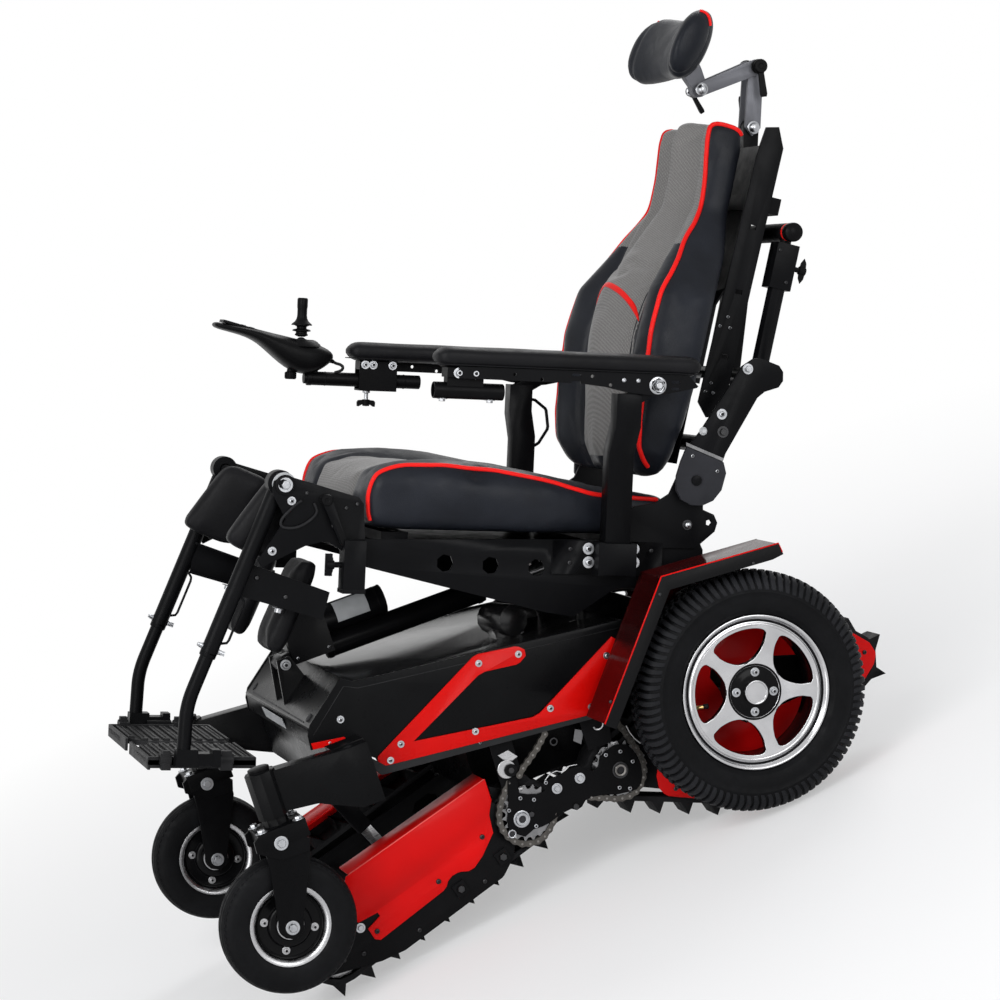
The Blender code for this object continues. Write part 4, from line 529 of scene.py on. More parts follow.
LOOK = {
    "skirt": powder("satin_black_panel", (0.0030, 0.0031, 0.0035), 0.28, 0.0, 0.00004, 0.0, 0.07, 0.4),
    "deck": powder("deck_black", (0.0080, 0.0080, 0.0086), 0.24, 0.0, 0.00002, 0.0, 0.50, 0.15),
    "red": gloss_paint("red_paint", (0.58, 0.003, 0.002)),
    "cover_red": gloss_paint("red_cover", (0.56, 0.003, 0.003), 0.30),
    # Lighter pink red for a strip on the front cover's top edge: a painted highlight.
    "red_painted_highlight": gloss_paint("red_painted_highlight", (0.80, 0.10, 0.09), 0.25),
    "fender": fender_paint("fender_dark_red", (0.034, 0.0028, 0.0030), (0.0034, 0.0034, 0.0038)),
    # Grey lighter than the black skirt, for its lip and fold line: painted edge highlight.
    "fender_edge": powder("edge_grey_painted_highlight", (0.022, 0.022, 0.023), 0.42),
    "bracket": powder("bracket_black", (0.0028, 0.0028, 0.0032), 0.40),
    "battery": powder("battery_case", (0.030, 0.030, 0.032), 0.55),
    "motor": metal("motor_cast", (0.16, 0.16, 0.165), 0.42, (1.0, 1.0, 1.0)),
    "fork": powder("fork_black", (0.0026, 0.0026, 0.0030), 0.32),
    "track": powder("track_plate", (0.0045, 0.0045, 0.0050), 0.42),
    "belt": rubber("belt_rubber", (0.0080, 0.0080, 0.0086), 0.62),
    "steel": metal("bright_steel", (0.46, 0.46, 0.47), 0.28),
    "zinc": metal("zinc_bolt", (0.44, 0.45, 0.47), 0.30, (1.0, 1.0, 1.0)),
    "chain": metal("oiled_chain", (0.085, 0.080, 0.074), 0.40, (1.0, 1.0, 1.0)),
    "pin": metal("chain_pins", (0.22, 0.21, 0.20), 0.30, (1.0, 1.0, 1.0)),
    "steel_dark": metal("sprocket_steel", (0.20, 0.20, 0.205), 0.30, (1.0, 1.0, 1.0)),
    "socket": powder("socket_dark", (0.030, 0.030, 0.032), 0.5),
    "black_bolt": metal("black_oxide", (0.05, 0.05, 0.052), 0.34, (1.0, 1.0, 1.0)),
    "seat": powder("frame_black", (0.0036, 0.0037, 0.0043), 0.36, 0.0, 0.00009),
    "pad": leather("pad_vinyl", (0.0042, 0.0042, 0.0050), 0.44),
    "leather": leather("seat_leather", (0.0088, 0.0100, 0.0135), 0.36),
    "knit": knit("grey_panel", (0.200, 0.194, 0.189)),
    "piping": gloss_paint("red_piping", (0.78, 0.012, 0.010), 0.36),
    "link": powder("link_grey", (0.130, 0.132, 0.145), 0.42, 0.25, 0.00010),
    "actuator": powder("actuator_black", (0.0042, 0.0042, 0.0048), 0.34, 0.0, 0.00010, 0.02),
    "cover": powder("recline_cover", (0.0220, 0.0225, 0.0260), 0.40),
    "plastic": powder("black_plastic", (0.0042, 0.0042, 0.0046), 0.36, 0.0, 0.00012),
    "tray": powder("tray_plastic", (0.020, 0.020, 0.021), 0.44, 0.0, 0.00020),
    "tyre": rubber("tyre_rubber", (0.0034, 0.0035, 0.0040), 0.52),
    # Tread rubber, lighter and bluer than the sidewall: a painted highlight.
    "tread": rubber("tyre_tread", (0.0105, 0.0108, 0.0122), 0.52),
    "rim_face": machined("rim_machined"),
    "rim_black": powder("rim_black", (0.0030, 0.0030, 0.0034), 0.20, 0.0, 0.00004, 0.06),
    "label": powder("bare_label", (0.42, 0.43, 0.44), 0.40),
    "brass": metal("brass_valve", (0.72, 0.50, 0.20), 0.30, (1.0, 1.0, 1.0)),
    "cable": rubber("cable_black", (0.014, 0.014, 0.015), 0.45),
    "glass": powder("display_glass", (0.010, 0.011, 0.013), 0.08, 0.0, 0.00001, 1.0),
    "grey_key": powder("key_grey", (0.30, 0.30, 0.31), 0.45),
}

# CAD nodes that stay as they are: (start of the name, look, edge width).
DRESS = [
    ("chassis_frame", "skirt", 0.0008), ("top_cover", "deck", 0.0008), ("red_trim", "red", 0.0005),
    ("fender", "fender", 0.0006), ("track_bracket", "bracket", 0.0007), ("battery_pack", "battery",
            0.0020),
    ("drive_motor", "motor", 0.0010), ("caster_fork", "fork", 0.0009), ("front_track_frame", "track",
            0.0006),
    ("rear_track_frame", "track", 0.0006), ("front_belt", "belt", 0.0010), ("rear_belt", "belt",
            0.0010),
    ("front_cover", "cover_red", 0.0005), ("rear_cover", "cover_red", 0.0005),
    ("front_sprocket_shaft", "steel", 0.0004), ("front_idler_shaft", "steel", 0.0005),
    ("rear_sprocket_shaft", "steel", 0.0004), ("rear_idler_shaft", "steel", 0.0005),
    ("lift_tube", "actuator", 0.0008), ("lift_rod", "steel", 0.0004), ("seat_frame", "seat", 0.0008),
    ("tilt_actuator_body", "actuator", 0.0010), ("tilt_actuator_rod", "steel", 0.0004),
    ("back_frame", "seat", 0.0007), ("push_handle", "seat", 0.0006), ("head_arm", "link", 0.0006),
    ("arm_post", "seat", 0.0009), ("leg_frame", "seat", 0.0006), ("footplate", "plastic", 0.0010),
]


def dress():
    for name, node in sorted(NODES.items()):
        for start, look, width in DRESS:
            if name.startswith(start):
                node.data.materials.clear()
                node.data.materials.append(LOOK[look])
                soften(node, width)


def seen_rays(tree):
    """1 for camera, glossy and transmission rays."""
    rays = tree.nodes.new("ShaderNodeLightPath")
    total = rays.outputs["Is Camera Ray"]
    for kind in ("Is Glossy Ray", "Is Transmission Ray"):
        most = tree.nodes.new("ShaderNodeMath")
        most.operation = "MAXIMUM"
        tree.links.new(total, most.inputs[0])
        tree.links.new(rays.outputs[kind], most.inputs[1])
        total = most.outputs[0]
    return total


def studio():
    """Plain pale floor, white surroundings and soft lights."""
    n = Nodes("floor_pale")
    tone = n.span(n.noise(1.3, 2.0), 0.3, 0.7)
    n.finish(n.mix(tone, (0.8, 0.8, 0.81), (0.83, 0.83, 0.84)), 0.6)
    # Seen directly or in a reflection, the floor pales to white with distance from the chair.
    away = n.add("ShaderNodeVectorMath", operation="LENGTH")
    n.link(n.place, away.inputs[0])
    white = n.add("ShaderNodeEmission", Strength=1.0)
    blend = n.add("ShaderNodeMixShader")
    n.link(n.math("MULTIPLY", seen_rays(n.tree), n.span(away.outputs["Value"], 0.7, 2.6, 0.4, 1.0)),
            blend.inputs[0])
    n.link(n.shader.outputs[0], blend.inputs[1])
    n.link(white.outputs[0], blend.inputs[2])
    n.link(blend.outputs[0], n.tree.nodes["Material Output"].inputs["Surface"])
    bm = bmesh.new()
    bmesh.ops.create_grid(bm, x_segments=1, y_segments=1, size=9.0)
    floor = from_form("floor", bm)
    floor.data.materials.append(n.made)

    world = bpy.data.worlds.new("studio")
    bpy.context.scene.world = world
    world.use_nodes = True
    tree = world.node_tree
    most = seen_rays(tree)
    lit, seen = tree.nodes["Background"], tree.nodes.new("ShaderNodeBackground")
    seen.inputs["Color"].default_value = (1.0, 1.0, 1.0, 1.0)
    lit.inputs["Color"].default_value = (0.95, 0.97, 1.0, 1.0)
    lit.inputs["Strength"].default_value = 0.4
    seen.inputs["Strength"].default_value = 1.0
    mix = tree.nodes.new("ShaderNodeMixShader")
    tree.links.new(most, mix.inputs[0])
    tree.links.new(lit.outputs[0], mix.inputs[1])
    tree.links.new(seen.outputs[0], mix.inputs[2])
    tree.links.new(mix.outputs[0], tree.nodes["World Output"].inputs["Surface"])

    for name, place, aim, size, power in (
            ("key", (2.6, -2.2, 3.0), (0.0, 0.0, 0.5), 2.2, 95.0),
            ("side", (3.4, 1.2, 1.5), (0.0, 0.1, 0.4), 1.8, 45.0),
            ("back", (-2.2, 2.6, 2.6), (0.0, 0.1, 0.6), 2.0, 55.0),
            ("low", (2.4, -2.8, 0.7), (0.0, -0.2, 0.3), 1.4, 18.0)):
        lamp = bpy.data.lights.new(name, "AREA")
        lamp.size = size
        lamp.energy = power
        obj = link(bpy.data.objects.new(name, lamp))
        obj.location = place
        obj.rotation_euler = (Vector(aim) - Vector(place)).to_track_quat("-Z", "Y").to_euler()
    bpy.context.scene.view_settings.view_transform = "Standard"


def rim_radius(obj, matrix):
    """Stores each point's distance from the axle, for the machined rings."""
    inverse = matrix.inverted()
    rings = obj.data.attributes.new("radius", "FLOAT", "POINT")
    for k, vert in enumerate(obj.data.vertices):
        p = inverse @ vert.co
        rings.data[k].value = math.hypot(p.y, p.z)


WINDOW_SHARE = 29.6    # Half of a window, in degrees of the wheel's turn.
WINDOW_COLUMN = 6      # The row of faces that the windows leave open.
SPOKE_INNER, SPOKE_OUTER = 0.038, 0.0985    # Radii of the disc's skin.


def window_edge(angle):
    """Inner and outer radius of a wheel window at an angle from its middle, in degrees, or None."""
    share = abs(angle) / WINDOW_SHARE
    if share >= 1.0:
        return None
    return (0.045 + 0.037 * (1.0 - math.sqrt(1.0 - share ** 2.6)),
            0.0935 - 0.009 * (1.0 - math.sqrt(1.0 - share ** 8)))


def spoke_face(bm, matrix, side):
    """Front skin of the wheel disc, open at five windows."""
    count = 360
    columns = []
    for k in range(count):
        angle = 360.0 * k / count
        near = (angle - 90.0 + 36.0) % 72.0 - 36.0
        window = window_edge(near)
        low, high = window or (0.079, 0.085)
        radii = [SPOKE_INNER + (low - SPOKE_INNER) * j / WINDOW_COLUMN
                for j in range(WINDOW_COLUMN + 1)]
        radii += [high, 0.095, SPOKE_OUTER]
        column = []
        for r in radii:
            out = (r - SPOKE_INNER) / (SPOKE_OUTER - SPOKE_INNER)
            dish = 0.0265 + 0.0035 * out ** 1.5 - 0.0015 * math.cos(math.radians(near * 2.5)) * out
            y, z = r * math.cos(math.radians(angle)), r * math.sin(math.radians(angle))
            column.append(bm.verts.new(matrix @ Vector((side * dish, y, z))))
        columns.append((column, window is not None))
    for k in range(count):
        a, open_a = columns[k]
        b, open_b = columns[(k + 1) % count]
        for j in range(len(a) - 1):
            if j == WINDOW_COLUMN and open_a and open_b:
                continue
            bm.faces.new((a[j], b[j], b[j + 1], a[j + 1]))


def rim(side):
    name = SIDE[side]
    matrix = WHEEL[side]
    bm = bmesh.new()
    spoke_face(bm, matrix, side)
    bmesh.ops.remove_doubles(bm, verts=bm.verts, dist=0.0002)
    disc = from_bmesh(f"rim_spokes_{name}", bm, "rim_face rim_black", f"wheel_{name}")
    modify(disc, "depth", "SOLIDIFY", thickness=0.011, offset=-1.0, use_even_offset=True,
           material_offset=1, material_offset_rim=1)
    bevel(disc, 0.0012, 2, 50)
    rim_radius(disc, matrix)

    bm = bmesh.new()
    lip = mm((96.5, 26.2), (98.2, 29.6), (101, 30.2), (101.8, 28.8), (106, 27.6), (107.2, 29.2),
            (110, 32.2), (111.8, 34.6), (113.8, 34.7), (114.7, 33.8), (114.7, 31))
    add_lathe(bm, flipped(lip, side), matrix, 120)
    barrel = mm((96.5, 26.2), (95, 15), (94.5, -20), (99, -30), (112, -34.5), (114.7, -34),
            (114.7, -31), (102.5, -29), (102.5, 25), (114.7, 31))
    add_lathe(bm, flipped(barrel, side), matrix, 96, 1)
    ring = from_bmesh(f"rim_ring_{name}", bm, "rim_face rim_black", f"wheel_{name}")
    rim_radius(ring, matrix)
    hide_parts(f"drive_rim_{name}")

    bm = bmesh.new()
    hub = mm((0, 28.5), (18, 28.5), (18.2, 27), (30, 27), (31.2, 26.2), (38.5, 25.8), (39.2, 27.2),
            (41.2, 27.6), (42, 26.2), (42, 15), (33.5, 12), (33, -30), (13.5, -30), (13.5, 10), (0, 10))
    add_lathe(bm, flipped(hub, side), matrix, 72, 1)
    cap = mm((0, 32.5), (15, 33), (15.2, 34.2), (16.6, 34.9), (17.6, 34.6), (18, 33.2), (18, 28.4))
    add_lathe(bm, flipped(cap, side), matrix, 64, 0)
    mount(bm, matrix, side * 0.0264, circle(0.0292, 4, -18), side, 0.0038, "cap", True, 2, 3)
    # Valve: brass stem and its cap.
    valve = mm((side * 10, -93, 6), (side * 14, -86, 5.2), (side * 18, -79, 4.6), (side * 21.5, -73, 4))
    add_tube(bm, placed(matrix, valve[:3]), (0.0034, 0.003, 0.0028), 14, 4)
    add_tube(bm, placed(matrix, valve[2:]), (0.004, 0.0038), 14, 5)
    middle = from_bmesh(f"rim_hub_{name}", bm, "rim_face rim_black zinc socket brass plastic",
            f"wheel_{name}")
    rim_radius(middle, matrix)
    soften(middle, 0.0004, 2, 45)


def tyre(side):
    name = SIDE[side]
    matrix = WHEEL[side]
    bm = bmesh.new()
    half = mm((104, 29), (112, 30), (115, 30.6), (115.8, 32.2), (117.5, 34.5), (121.5, 37.2),
            (122.2, 38.1), (124, 38.6), (130, 39.7), (139, 40.6), (147, 40.2), (147.8, 40.8),
            (149.5, 40.5), (151, 39.6), (159, 36.6), (165, 32), (170, 25), (172.8, 15), (173.8, 5))
    profile = half + [(r, -x) for r, x in reversed(half)]
    add_lathe(bm, profile, matrix, 128, 0, True)
    count = 88
    # Curved shoulder lugs, then three rows of tread blocks; both take the tread rubber, whose lighter,
    # bluer colour is a painted highlight.
    arcs = mm((152.5, 39.2), (157, 38.6), (164, 35.2), (170, 30), (174.5, 23.2), (176.6, 15))
    for k in range(count):
        for flank in (1, -1):
            base = 2 * math.pi * (k + (0.25 if flank > 0 else -0.25)) / count
            loops = []
            for j, (r, x) in enumerate(arcs):
                share = j / (len(arcs) - 1)
                lean = base + flank * 0.02 * math.sin(share * math.pi * 0.9)
                half_width = (0.0022 + 0.0014 * math.sin(math.pi * (0.15 + 0.7 * share))) / r
                foot, crest = (r - 0.005, x - 0.003), (r + 0.0014 * min(1, share * 5), x + 0.0008)
                loop = []
                for (rr, xx), width in ((foot, -1.25), (crest, -1), (crest, 1), (foot, 1.25)):
                    a = lean + width * half_width
                    point = Vector((flank * xx, rr * math.cos(a), rr * math.sin(a)))
                    loop.append(bm.verts.new(matrix @ point))
                loops.append(loop)
            for a, b in zip(loops, loops[1:]):
                for m in range(3):
                    bm.faces.new((a[m], b[m], b[m + 1], a[m + 1])).material_index = 1
            bm.faces.new(loops[0][::-1]).material_index = 1
            bm.faces.new(loops[-1]).material_index = 1
        for row, shift, span in ((0.0, 0.0, 0.0052), (0.0108, 0.5, 0.0036), (-0.0108, 0.5, 0.0036)):
            spot = moved(turned(matrix, 360 * (k + shift) / count, "X"), row, 0.0, 0.17)
            add_box(bm, (-span, -0.0036, 0.0), (span, 0.0036, 0.0084),
                    turned(spot, 18 if row >= 0 else -18, "Z"), 1, 0.86)
    made = from_bmesh(f"tyre_{name}", bm, "tyre tread", f"wheel_{name}",
            edge=(0.0005, 1, 40))
    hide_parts(f"drive_tyre_{name}")


def caster(side):
    name = SIDE[side]
    matrix = CASTER[side]
    bm = bmesh.new()
    half = mm((57, 16.5), (59, 19), (63, 21.2), (70, 22.5), (78, 23), (85, 22.2), (90.5, 20),
            (91.2, 19.2), (92.2, 19), (94.5, 16.5), (95, 15.8), (95.8, 15.6), (97.5, 12.2),
            (97.7, 11.2), (98.5, 10.8), (99.4, 6), (98.5, 5), (98.5, 4), (99.8, 3))
    add_lathe(bm, half + [(r, -x) for r, x in reversed(half)], matrix, 96, 0, True)
    shoulder = 64
    for k in range(shoulder):
        for flank in (1, -1):
            spot = turned(matrix, 360 * (k + 0.25 * flank) / shoulder, "X")
            inner, outer = sorted((flank * 0.008, flank * 0.019))
            add_box(bm, (inner, -0.0026, 0.0895), (outer, 0.0026, 0.095), spot, 0, 0.9)
    for flank in (1, -1):
        lip = mm((50, 12), (50.8, 15), (53, 17.6), (56.2, 19), (58.8, 19.2), (59.6, 18), (59.2, 12))
        add_lathe(bm, flipped(lip, flank), matrix, 72, 2)
        dish = mm((50.5, 13), (49, 10), (47.5, 9.2), (33, 8.8), (31, 12), (29, 14), (22, 14.2),
                (21.2, 15.8), (13, 17.2), (12, 19), (6.6, 19))
        add_lathe(bm, flipped(dish, flank), matrix, 60, 1)
        accent = mm((47, 9.4), (46.6, 10.4), (45.2, 10.4), (44.8, 9))
        add_lathe(bm, flipped(accent, flank), matrix, 60, 1)
        boss = mm((20, 16), (19.6, 17.6), (18, 17.8), (17.6, 16.5))
        add_lathe(bm, flipped(boss, flank), matrix, 48, 2)
        mount(bm, matrix, flank * 0.0092, circle(0.037, 4, -26), flank, 0.0034, "cap", True, 2)
    made = from_bmesh(f"caster_wheel_dressed_{name}", bm, "tyre rim_black steel", f"caster_{name}",
            edge=(0.0003, 1, 45))
    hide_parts(f"caster_wheel_{name}")


def coordinates(obj):
    co = np.zeros(len(obj.data.vertices) * 3)
    obj.data.vertices.foreach_get("co", co)
    return co.reshape(-1, 3)


def set_coordinates(obj, co):
    obj.data.vertices.foreach_set("co", co.ravel())
    obj.data.update()


def world(matrix, co):
    """Rows of a frame's points, in world coordinates."""
    m = np.array(matrix)
    return co @ m[:3, :3].T + m[:3, 3]


def local(matrix, co):
    """Rows of world points, in a frame's coordinates."""
    return world(matrix.inverted(), co)


def soft_form(name, bm, voxel, rounds=8):
    """A closed shape as an even fine mesh."""
    obj = from_form(name, bm)
    modify(obj, "remesh", "REMESH", mode="VOXEL", voxel_size=voxel)
    modify(obj, "relax", "SMOOTH", factor=0.5, iterations=rounds)
    return baked(obj)


def inflate(obj, held, cap=0.008, pressure=4.0, frames=20):
    """Cloth under pressure: held points stay, the panels between them swell by up to cap."""
    start = coordinates(obj)
    scene = bpy.context.scene
    group = obj.vertex_groups.new(name="held")
    for k in np.nonzero(held > 0.01)[0]:
        group.add([int(k)], float(held[k]), "REPLACE")
    cloth = obj.modifiers.new("cloth", "CLOTH")
    cloth.settings.vertex_group_mass = "held"
    cloth.settings.use_pressure = True
    cloth.settings.uniform_pressure_force = pressure
    cloth.settings.effector_weights.gravity = 0.0
    cloth.settings.tension_stiffness = 12.0
    cloth.settings.compression_stiffness = 12.0
    cloth.settings.bending_stiffness = 1.2
    cloth.settings.quality = 5
    cloth.point_cache.frame_start = 1
    cloth.point_cache.frame_end = frames
    for number in range(1, frames + 1):
        scene.frame_set(number)
    graph = bpy.context.evaluated_depsgraph_get()
    shaped = bpy.data.meshes.new_from_object(obj.evaluated_get(graph))
    end = np.zeros(len(shaped.vertices) * 3)
    shaped.vertices.foreach_get("co", end)
    end = end.reshape(-1, 3)
    obj.modifiers.clear()
    obj.vertex_groups.clear()
    bpy.data.meshes.remove(shaped)
    scene.frame_set(1)
    if end.shape != start.shape:
        return
    move = end - start
    reach = np.linalg.norm(move, axis=1, keepdims=True)
    move *= np.minimum(1.0, cap / np.maximum(reach, 1e-9))
    set_coordinates(obj, start + move)


def mirrored(points, side):
    """Points, mirrored in x for side -1."""
    return [(side * x, y, z) for x, y, z in points]


def near_lines(p, lines, width):
    """1 on any of the given |x| lines, falling to 0 at width from them."""
    best = np.full(len(p), np.inf)
    for line in lines:
        best = np.minimum(best, np.abs(np.abs(p[:, 0]) - line))
    return np.clip(1.0 - best / width, 0.0, 1.0)


def finish_soft(obj, node, body, looks, zones, relax=2):
    """Smooths, subdivides, gives each face its cover and stands in for the CAD solid."""
    modify(obj, "relax", "SMOOTH", factor=0.4, iterations=relax)
    modify(obj, "fine", "SUBSURF", levels=1, render_levels=1)
    baked(obj)
    for look in looks.split():
        obj.data.materials.append(LOOK[look])
    count = len(obj.data.polygons)
    centres, normals, index = np.zeros(count * 3), np.zeros(count * 3), np.zeros(count)
    obj.data.polygons.foreach_get("center", centres)
    obj.data.polygons.foreach_get("normal", normals)
    if zones:
        index = zones(centres.reshape(-1, 3), normals.reshape(-1, 3))
    obj.data.polygons.foreach_set("material_index", index.astype(np.int32))
    obj.data.shade_smooth()
    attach(obj, body)
    if node:
        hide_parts(node)
    return obj


def tree_of(obj):
    co = [v.co for v in obj.data.vertices]
    return BVHTree.FromPolygons(co, [tuple(p.vertices) for p in obj.data.polygons])


def on_surface(tree, guide, steps, lift):
    """A smooth guide line laid on the cushion, smoothed in three passes."""
    out = []
    for point in curve_through(guide, steps):
        hit, normal, _, _ = tree.find_nearest(point)
        out.append(hit + normal * lift)
    for _ in range(3):
        out = [out[0]] + [(a + b * 2 + c) / 4 for a, b, c in zip(out, out[1:], out[2:])] + [out[-1]]
    return out


def add_band(bm, tree, path, width, height, index=0):
    """A low flat band laid along a surface path."""
    rows = []
    for k, point in enumerate(path):
        ahead = (path[min(k + 1, len(path) - 1)] - path[max(k - 1, 0)]).normalized()
        _, normal, _, _ = tree.find_nearest(point)
        side = ahead.cross(normal).normalized()
        share = min(1.0, 6.0 * min(k, len(path) - 1 - k) / len(path) + 0.15)
        row = [(-0.5, -0.6), (-0.42, 0.7), (0.0, 1.0), (0.42, 0.7), (0.5, -0.6)]
        across, up = side * width * share, normal * height
        rows.append([bm.verts.new(point + across * a + up * b) for a, b in row])
    join_rings(bm, rows, index)


# Half width of the seat's knit panel, height where the seams of the back end, and guide lines.
SEAT_SEAM, PANEL_TOP = 0.118, 0.545
SEAT_PIPE = mm((212, 70, 171), (216, 30, 173), (220, -31, 179), (224, -93, 193), (224, -155, 206),
        (223, -231, 214), (220, -306, 214), (215, -358, 203), (212, -383, 176), (212, -386, 140),
        (212, -384, 112))


def seat_cushion():
    obj = soft_form("seat_cushion_cover", weld_copy("seat_cushion", 0.003), 0.0055)
    p = local(SEAT, coordinates(obj))
    # Seams pulled in by a few millimetres on the top and over the front edge.
    top = np.clip((p[:, 2] - 0.12) / 0.02, 0.0, 1.0)
    seam = near_lines(p, [SEAT_SEAM], 0.013) * top
    pull = 0.007 * seam ** 1.5
    p[:, 2] -= pull * np.clip((p[:, 1] + 0.375) / 0.03, 0.0, 1.0)
    p[:, 1] += pull * np.clip((-0.345 - p[:, 1]) / 0.03, 0.0, 1.0)
    set_coordinates(obj, world(SEAT, p))
    held = np.maximum(near_lines(p, [SEAT_SEAM], 0.006) * top,
            np.clip((0.1095 - p[:, 2]) / 0.004, 0, 1))
    held = np.maximum(held, np.clip((p[:, 1] - 0.06) / 0.02, 0.0, 1.0))
    inflate(obj, held, 0.005)

    def zones(centres, normals):
        q = local(SEAT, centres)
        up = local(Matrix.Rotation(math.radians(SEAT_PITCH), 4, "X"), normals)
        return ((np.abs(q[:, 0]) < SEAT_SEAM) & (q[:, 2] > 0.128) & (up[:, 2] > -0.2)).astype(int)

    finish_soft(obj, "seat_cushion", "seat", "leather knit", zones)
    tree = tree_of(obj)
    bm = bmesh.new()
    for side in (1, -1):
        pipe = placed(SEAT, mirrored(SEAT_PIPE, side))
        add_tube(bm, on_surface(tree, pipe, 10, 0.0008), 0.0034)
        line = placed(SEAT, mm((60, 165), (-50, 172), (-150, 190), (-250, 200), (-330, 198),
                (-375, 170), (-384, 130)), side * SEAT_SEAM)
        add_tube(bm, on_surface(tree, line, 10, -0.0003), 0.0011, 8, 1)
    piping = from_bmesh("seat_piping", bm, "piping leather", "seat")


BACK_PIPE = mm((108, 214, 716), (112, 196, 731), (116, 172, 742), (118, 154, 738), (119, 143, 718),
        (120, 143, 665), (122, 142, 613), (128, 134, 575), (150, 108, 552), (185, 83, 530),
        (206, 58, 495), (214, 37, 442), (217, 25, 382), (219, 18, 310), (218, 18, 257), (212, 28, 215),
        (204, 50, 190))
BACK_SEAM = mm((115, 600), (110, 520), (104, 440), (100, 340), (98, 250), (96, 200))


def seam_at(z):
    """Half width of the grey back panel at a height in the seat frame."""
    heights = [row[1] for row in BACK_SEAM][::-1]
    widths = [row[0] for row in BACK_SEAM][::-1]
    return np.interp(z, heights, widths)


def back_cushion():
    obj = soft_form("back_cushion_cover", weld_copy("back_cushion", 0.003), 0.0055)
    co = coordinates(obj)
    p = local(SEAT, co)
    b = local(BACK, co)
    line = np.abs(np.abs(p[:, 0]) - seam_at(p[:, 2]))
    fore = np.clip((-0.03 - b[:, 1]) / 0.012, 0.0, 1.0)
    low = np.clip((PANEL_TOP - p[:, 2]) / 0.06, 0.0, 1.0)
    seam = np.clip(1.0 - line / 0.014, 0.0, 1.0) * fore * low
    b[:, 1] += 0.008 * seam ** 1.5
    set_coordinates(obj, world(BACK, b))
    held = np.maximum(np.clip(1.0 - line / 0.006, 0, 1) * fore * low,
            np.clip((b[:, 1] + 0.022) / 0.01, 0, 1))
    inflate(obj, held, 0.005)

    # The grey panel ends at the piping: the side of each face is told from the piping's run
    # and the cushion's normal there.
    tree = tree_of(obj)
    run = on_surface(tree, placed(SEAT, BACK_PIPE), 10, 0.0)
    to_seat = SEAT.inverted().to_3x3()
    pipe = local(SEAT, np.array([tuple(v) for v in run]))
    inner = []
    for k, point in enumerate(run):
        ahead = run[min(k + 1, len(run) - 1)] - run[max(k - 1, 0)]
        inner.append(tuple((to_seat @ ahead.cross(tree.find_nearest(point)[1])).normalized()))
    inner = np.array(inner)
    inner *= -np.sign(inner[:, :1])

    def zones(centres, normals):
        q = local(SEAT, centres)
        r = local(BACK, centres)
        q[:, 0] = np.abs(q[:, 0])
        ahead = local(Matrix.Rotation(math.radians(BACK_PITCH), 4, "X"), normals)
        grey = q[:, 0] < seam_at(q[:, 2])
        high = np.nonzero(q[:, 2] > PANEL_TOP)[0]
        near = ((q[high, None, :] - pipe[None, :, :]) ** 2).sum(2).argmin(1)
        grey[high] = ((q[high] - pipe[near]) * inner[near]).sum(1) > 0.0
        front = (ahead[:, 1] < 0.35) & (r[:, 2] > 0.01)
        return (grey & front & (r[:, 1] < -0.012)).astype(int)

    finish_soft(obj, "back_cushion", "back", "leather knit", zones)
    tree = tree_of(obj)
    bm = bmesh.new()
    for side in (1, -1):
        pipe = placed(SEAT, mirrored(BACK_PIPE, side))
        add_tube(bm, on_surface(tree, pipe, 10, 0.0008), 0.0036)
        rows = mm((120, 540), (80, 490), (55, 440), (40, 340), (35, 250), (45, 205))
        line = [(side * float(seam_at(z)), y, z) for y, z in rows]
        add_tube(bm, on_surface(tree, placed(SEAT, line), 10, -0.0003), 0.0011, 8, 1)
    brow = mm((-103, 60, 426), (-82, 62, 447), (-45, 58, 466), (0, 55, 473), (45, 58, 466),
            (82, 62, 447), (103, 60, 426))
    add_band(bm, tree, on_surface(tree, placed(SEAT, brow), 8, 0.0004), 0.0095, 0.0012)
    piping = from_bmesh("back_piping", bm, "piping leather", "back")


def leg_pads():
    for side in (1, -1):
        for kind in ("side_pad", "calf_pad"):
            node = f"{kind}_{SIDE[side]}"
            obj = soft_form(f"{node}_cover", weld_copy(node, 0.0014), 0.0036, 4)
            inflate(obj, np.zeros(len(obj.data.vertices)), 0.003)
            finish_soft(obj, node, f"leg_{SIDE[side]}", "pad", None)


def slot_outline(half, radius):
    """A flat oval with round ends, whose centres are half from its middle."""
    outline = []
    for centre, start in ((half, -90), (-half, 90)):
        for step in range(7):
            turn = math.radians(start + 30 * step)
            outline.append((centre + radius * math.cos(turn), radius * math.sin(turn)))
    return outline


def drilled(obj, holes):
    """Cuts holes through a piece: (matrix, radius or (half y, half z), half depth) each."""
    bm = bmesh.new()
    for matrix, size, depth in holes:
        if hasattr(size, "__len__"):
            wide, high = size
            add_plate(bm, slot_outline(wide - high, high), -depth, depth, matrix)
        else:
            add_lathe(bm, [(0.0, -depth), (size, -depth), (size, depth), (0.0, depth)], matrix, 24)
    bmesh.ops.recalc_face_normals(bm, faces=bm.faces)
    cutter = from_form("cutter", bm)
    modify(obj, "holes", "BOOLEAN", solver="EXACT", object=cutter)
    baked(obj)
    bpy.data.objects.remove(cutter)
    return obj


def mount(bm, matrix, x, spots, side, radius=0.0045, kind="button", washer=True, index=0, dark=1):
    """Bolt heads at (y, z) spots of a face that looks sideways, towards +X or -X."""
    for y, z in spots:
        add_bolt(bm, outward(matrix, x, y, z, side), radius, kind, washer, index, dark)


def add_loft(bm, stations, matrix, sides=28, power=2.4, index=0):
    """A body along y: each station is (y, middle x, middle z, half x, half z)."""
    rings = []
    for y, cx, cz, hx, hz in stations:
        ring = []
        for k in range(sides):
            angle = 2 * math.pi * k / sides
            x, z = oval(angle, 2 / power, hx, hz)
            ring.append(bm.verts.new(matrix @ Vector((cx + x, y, cz + z))))
        rings.append(ring)
    join_rings(bm, rings, index)


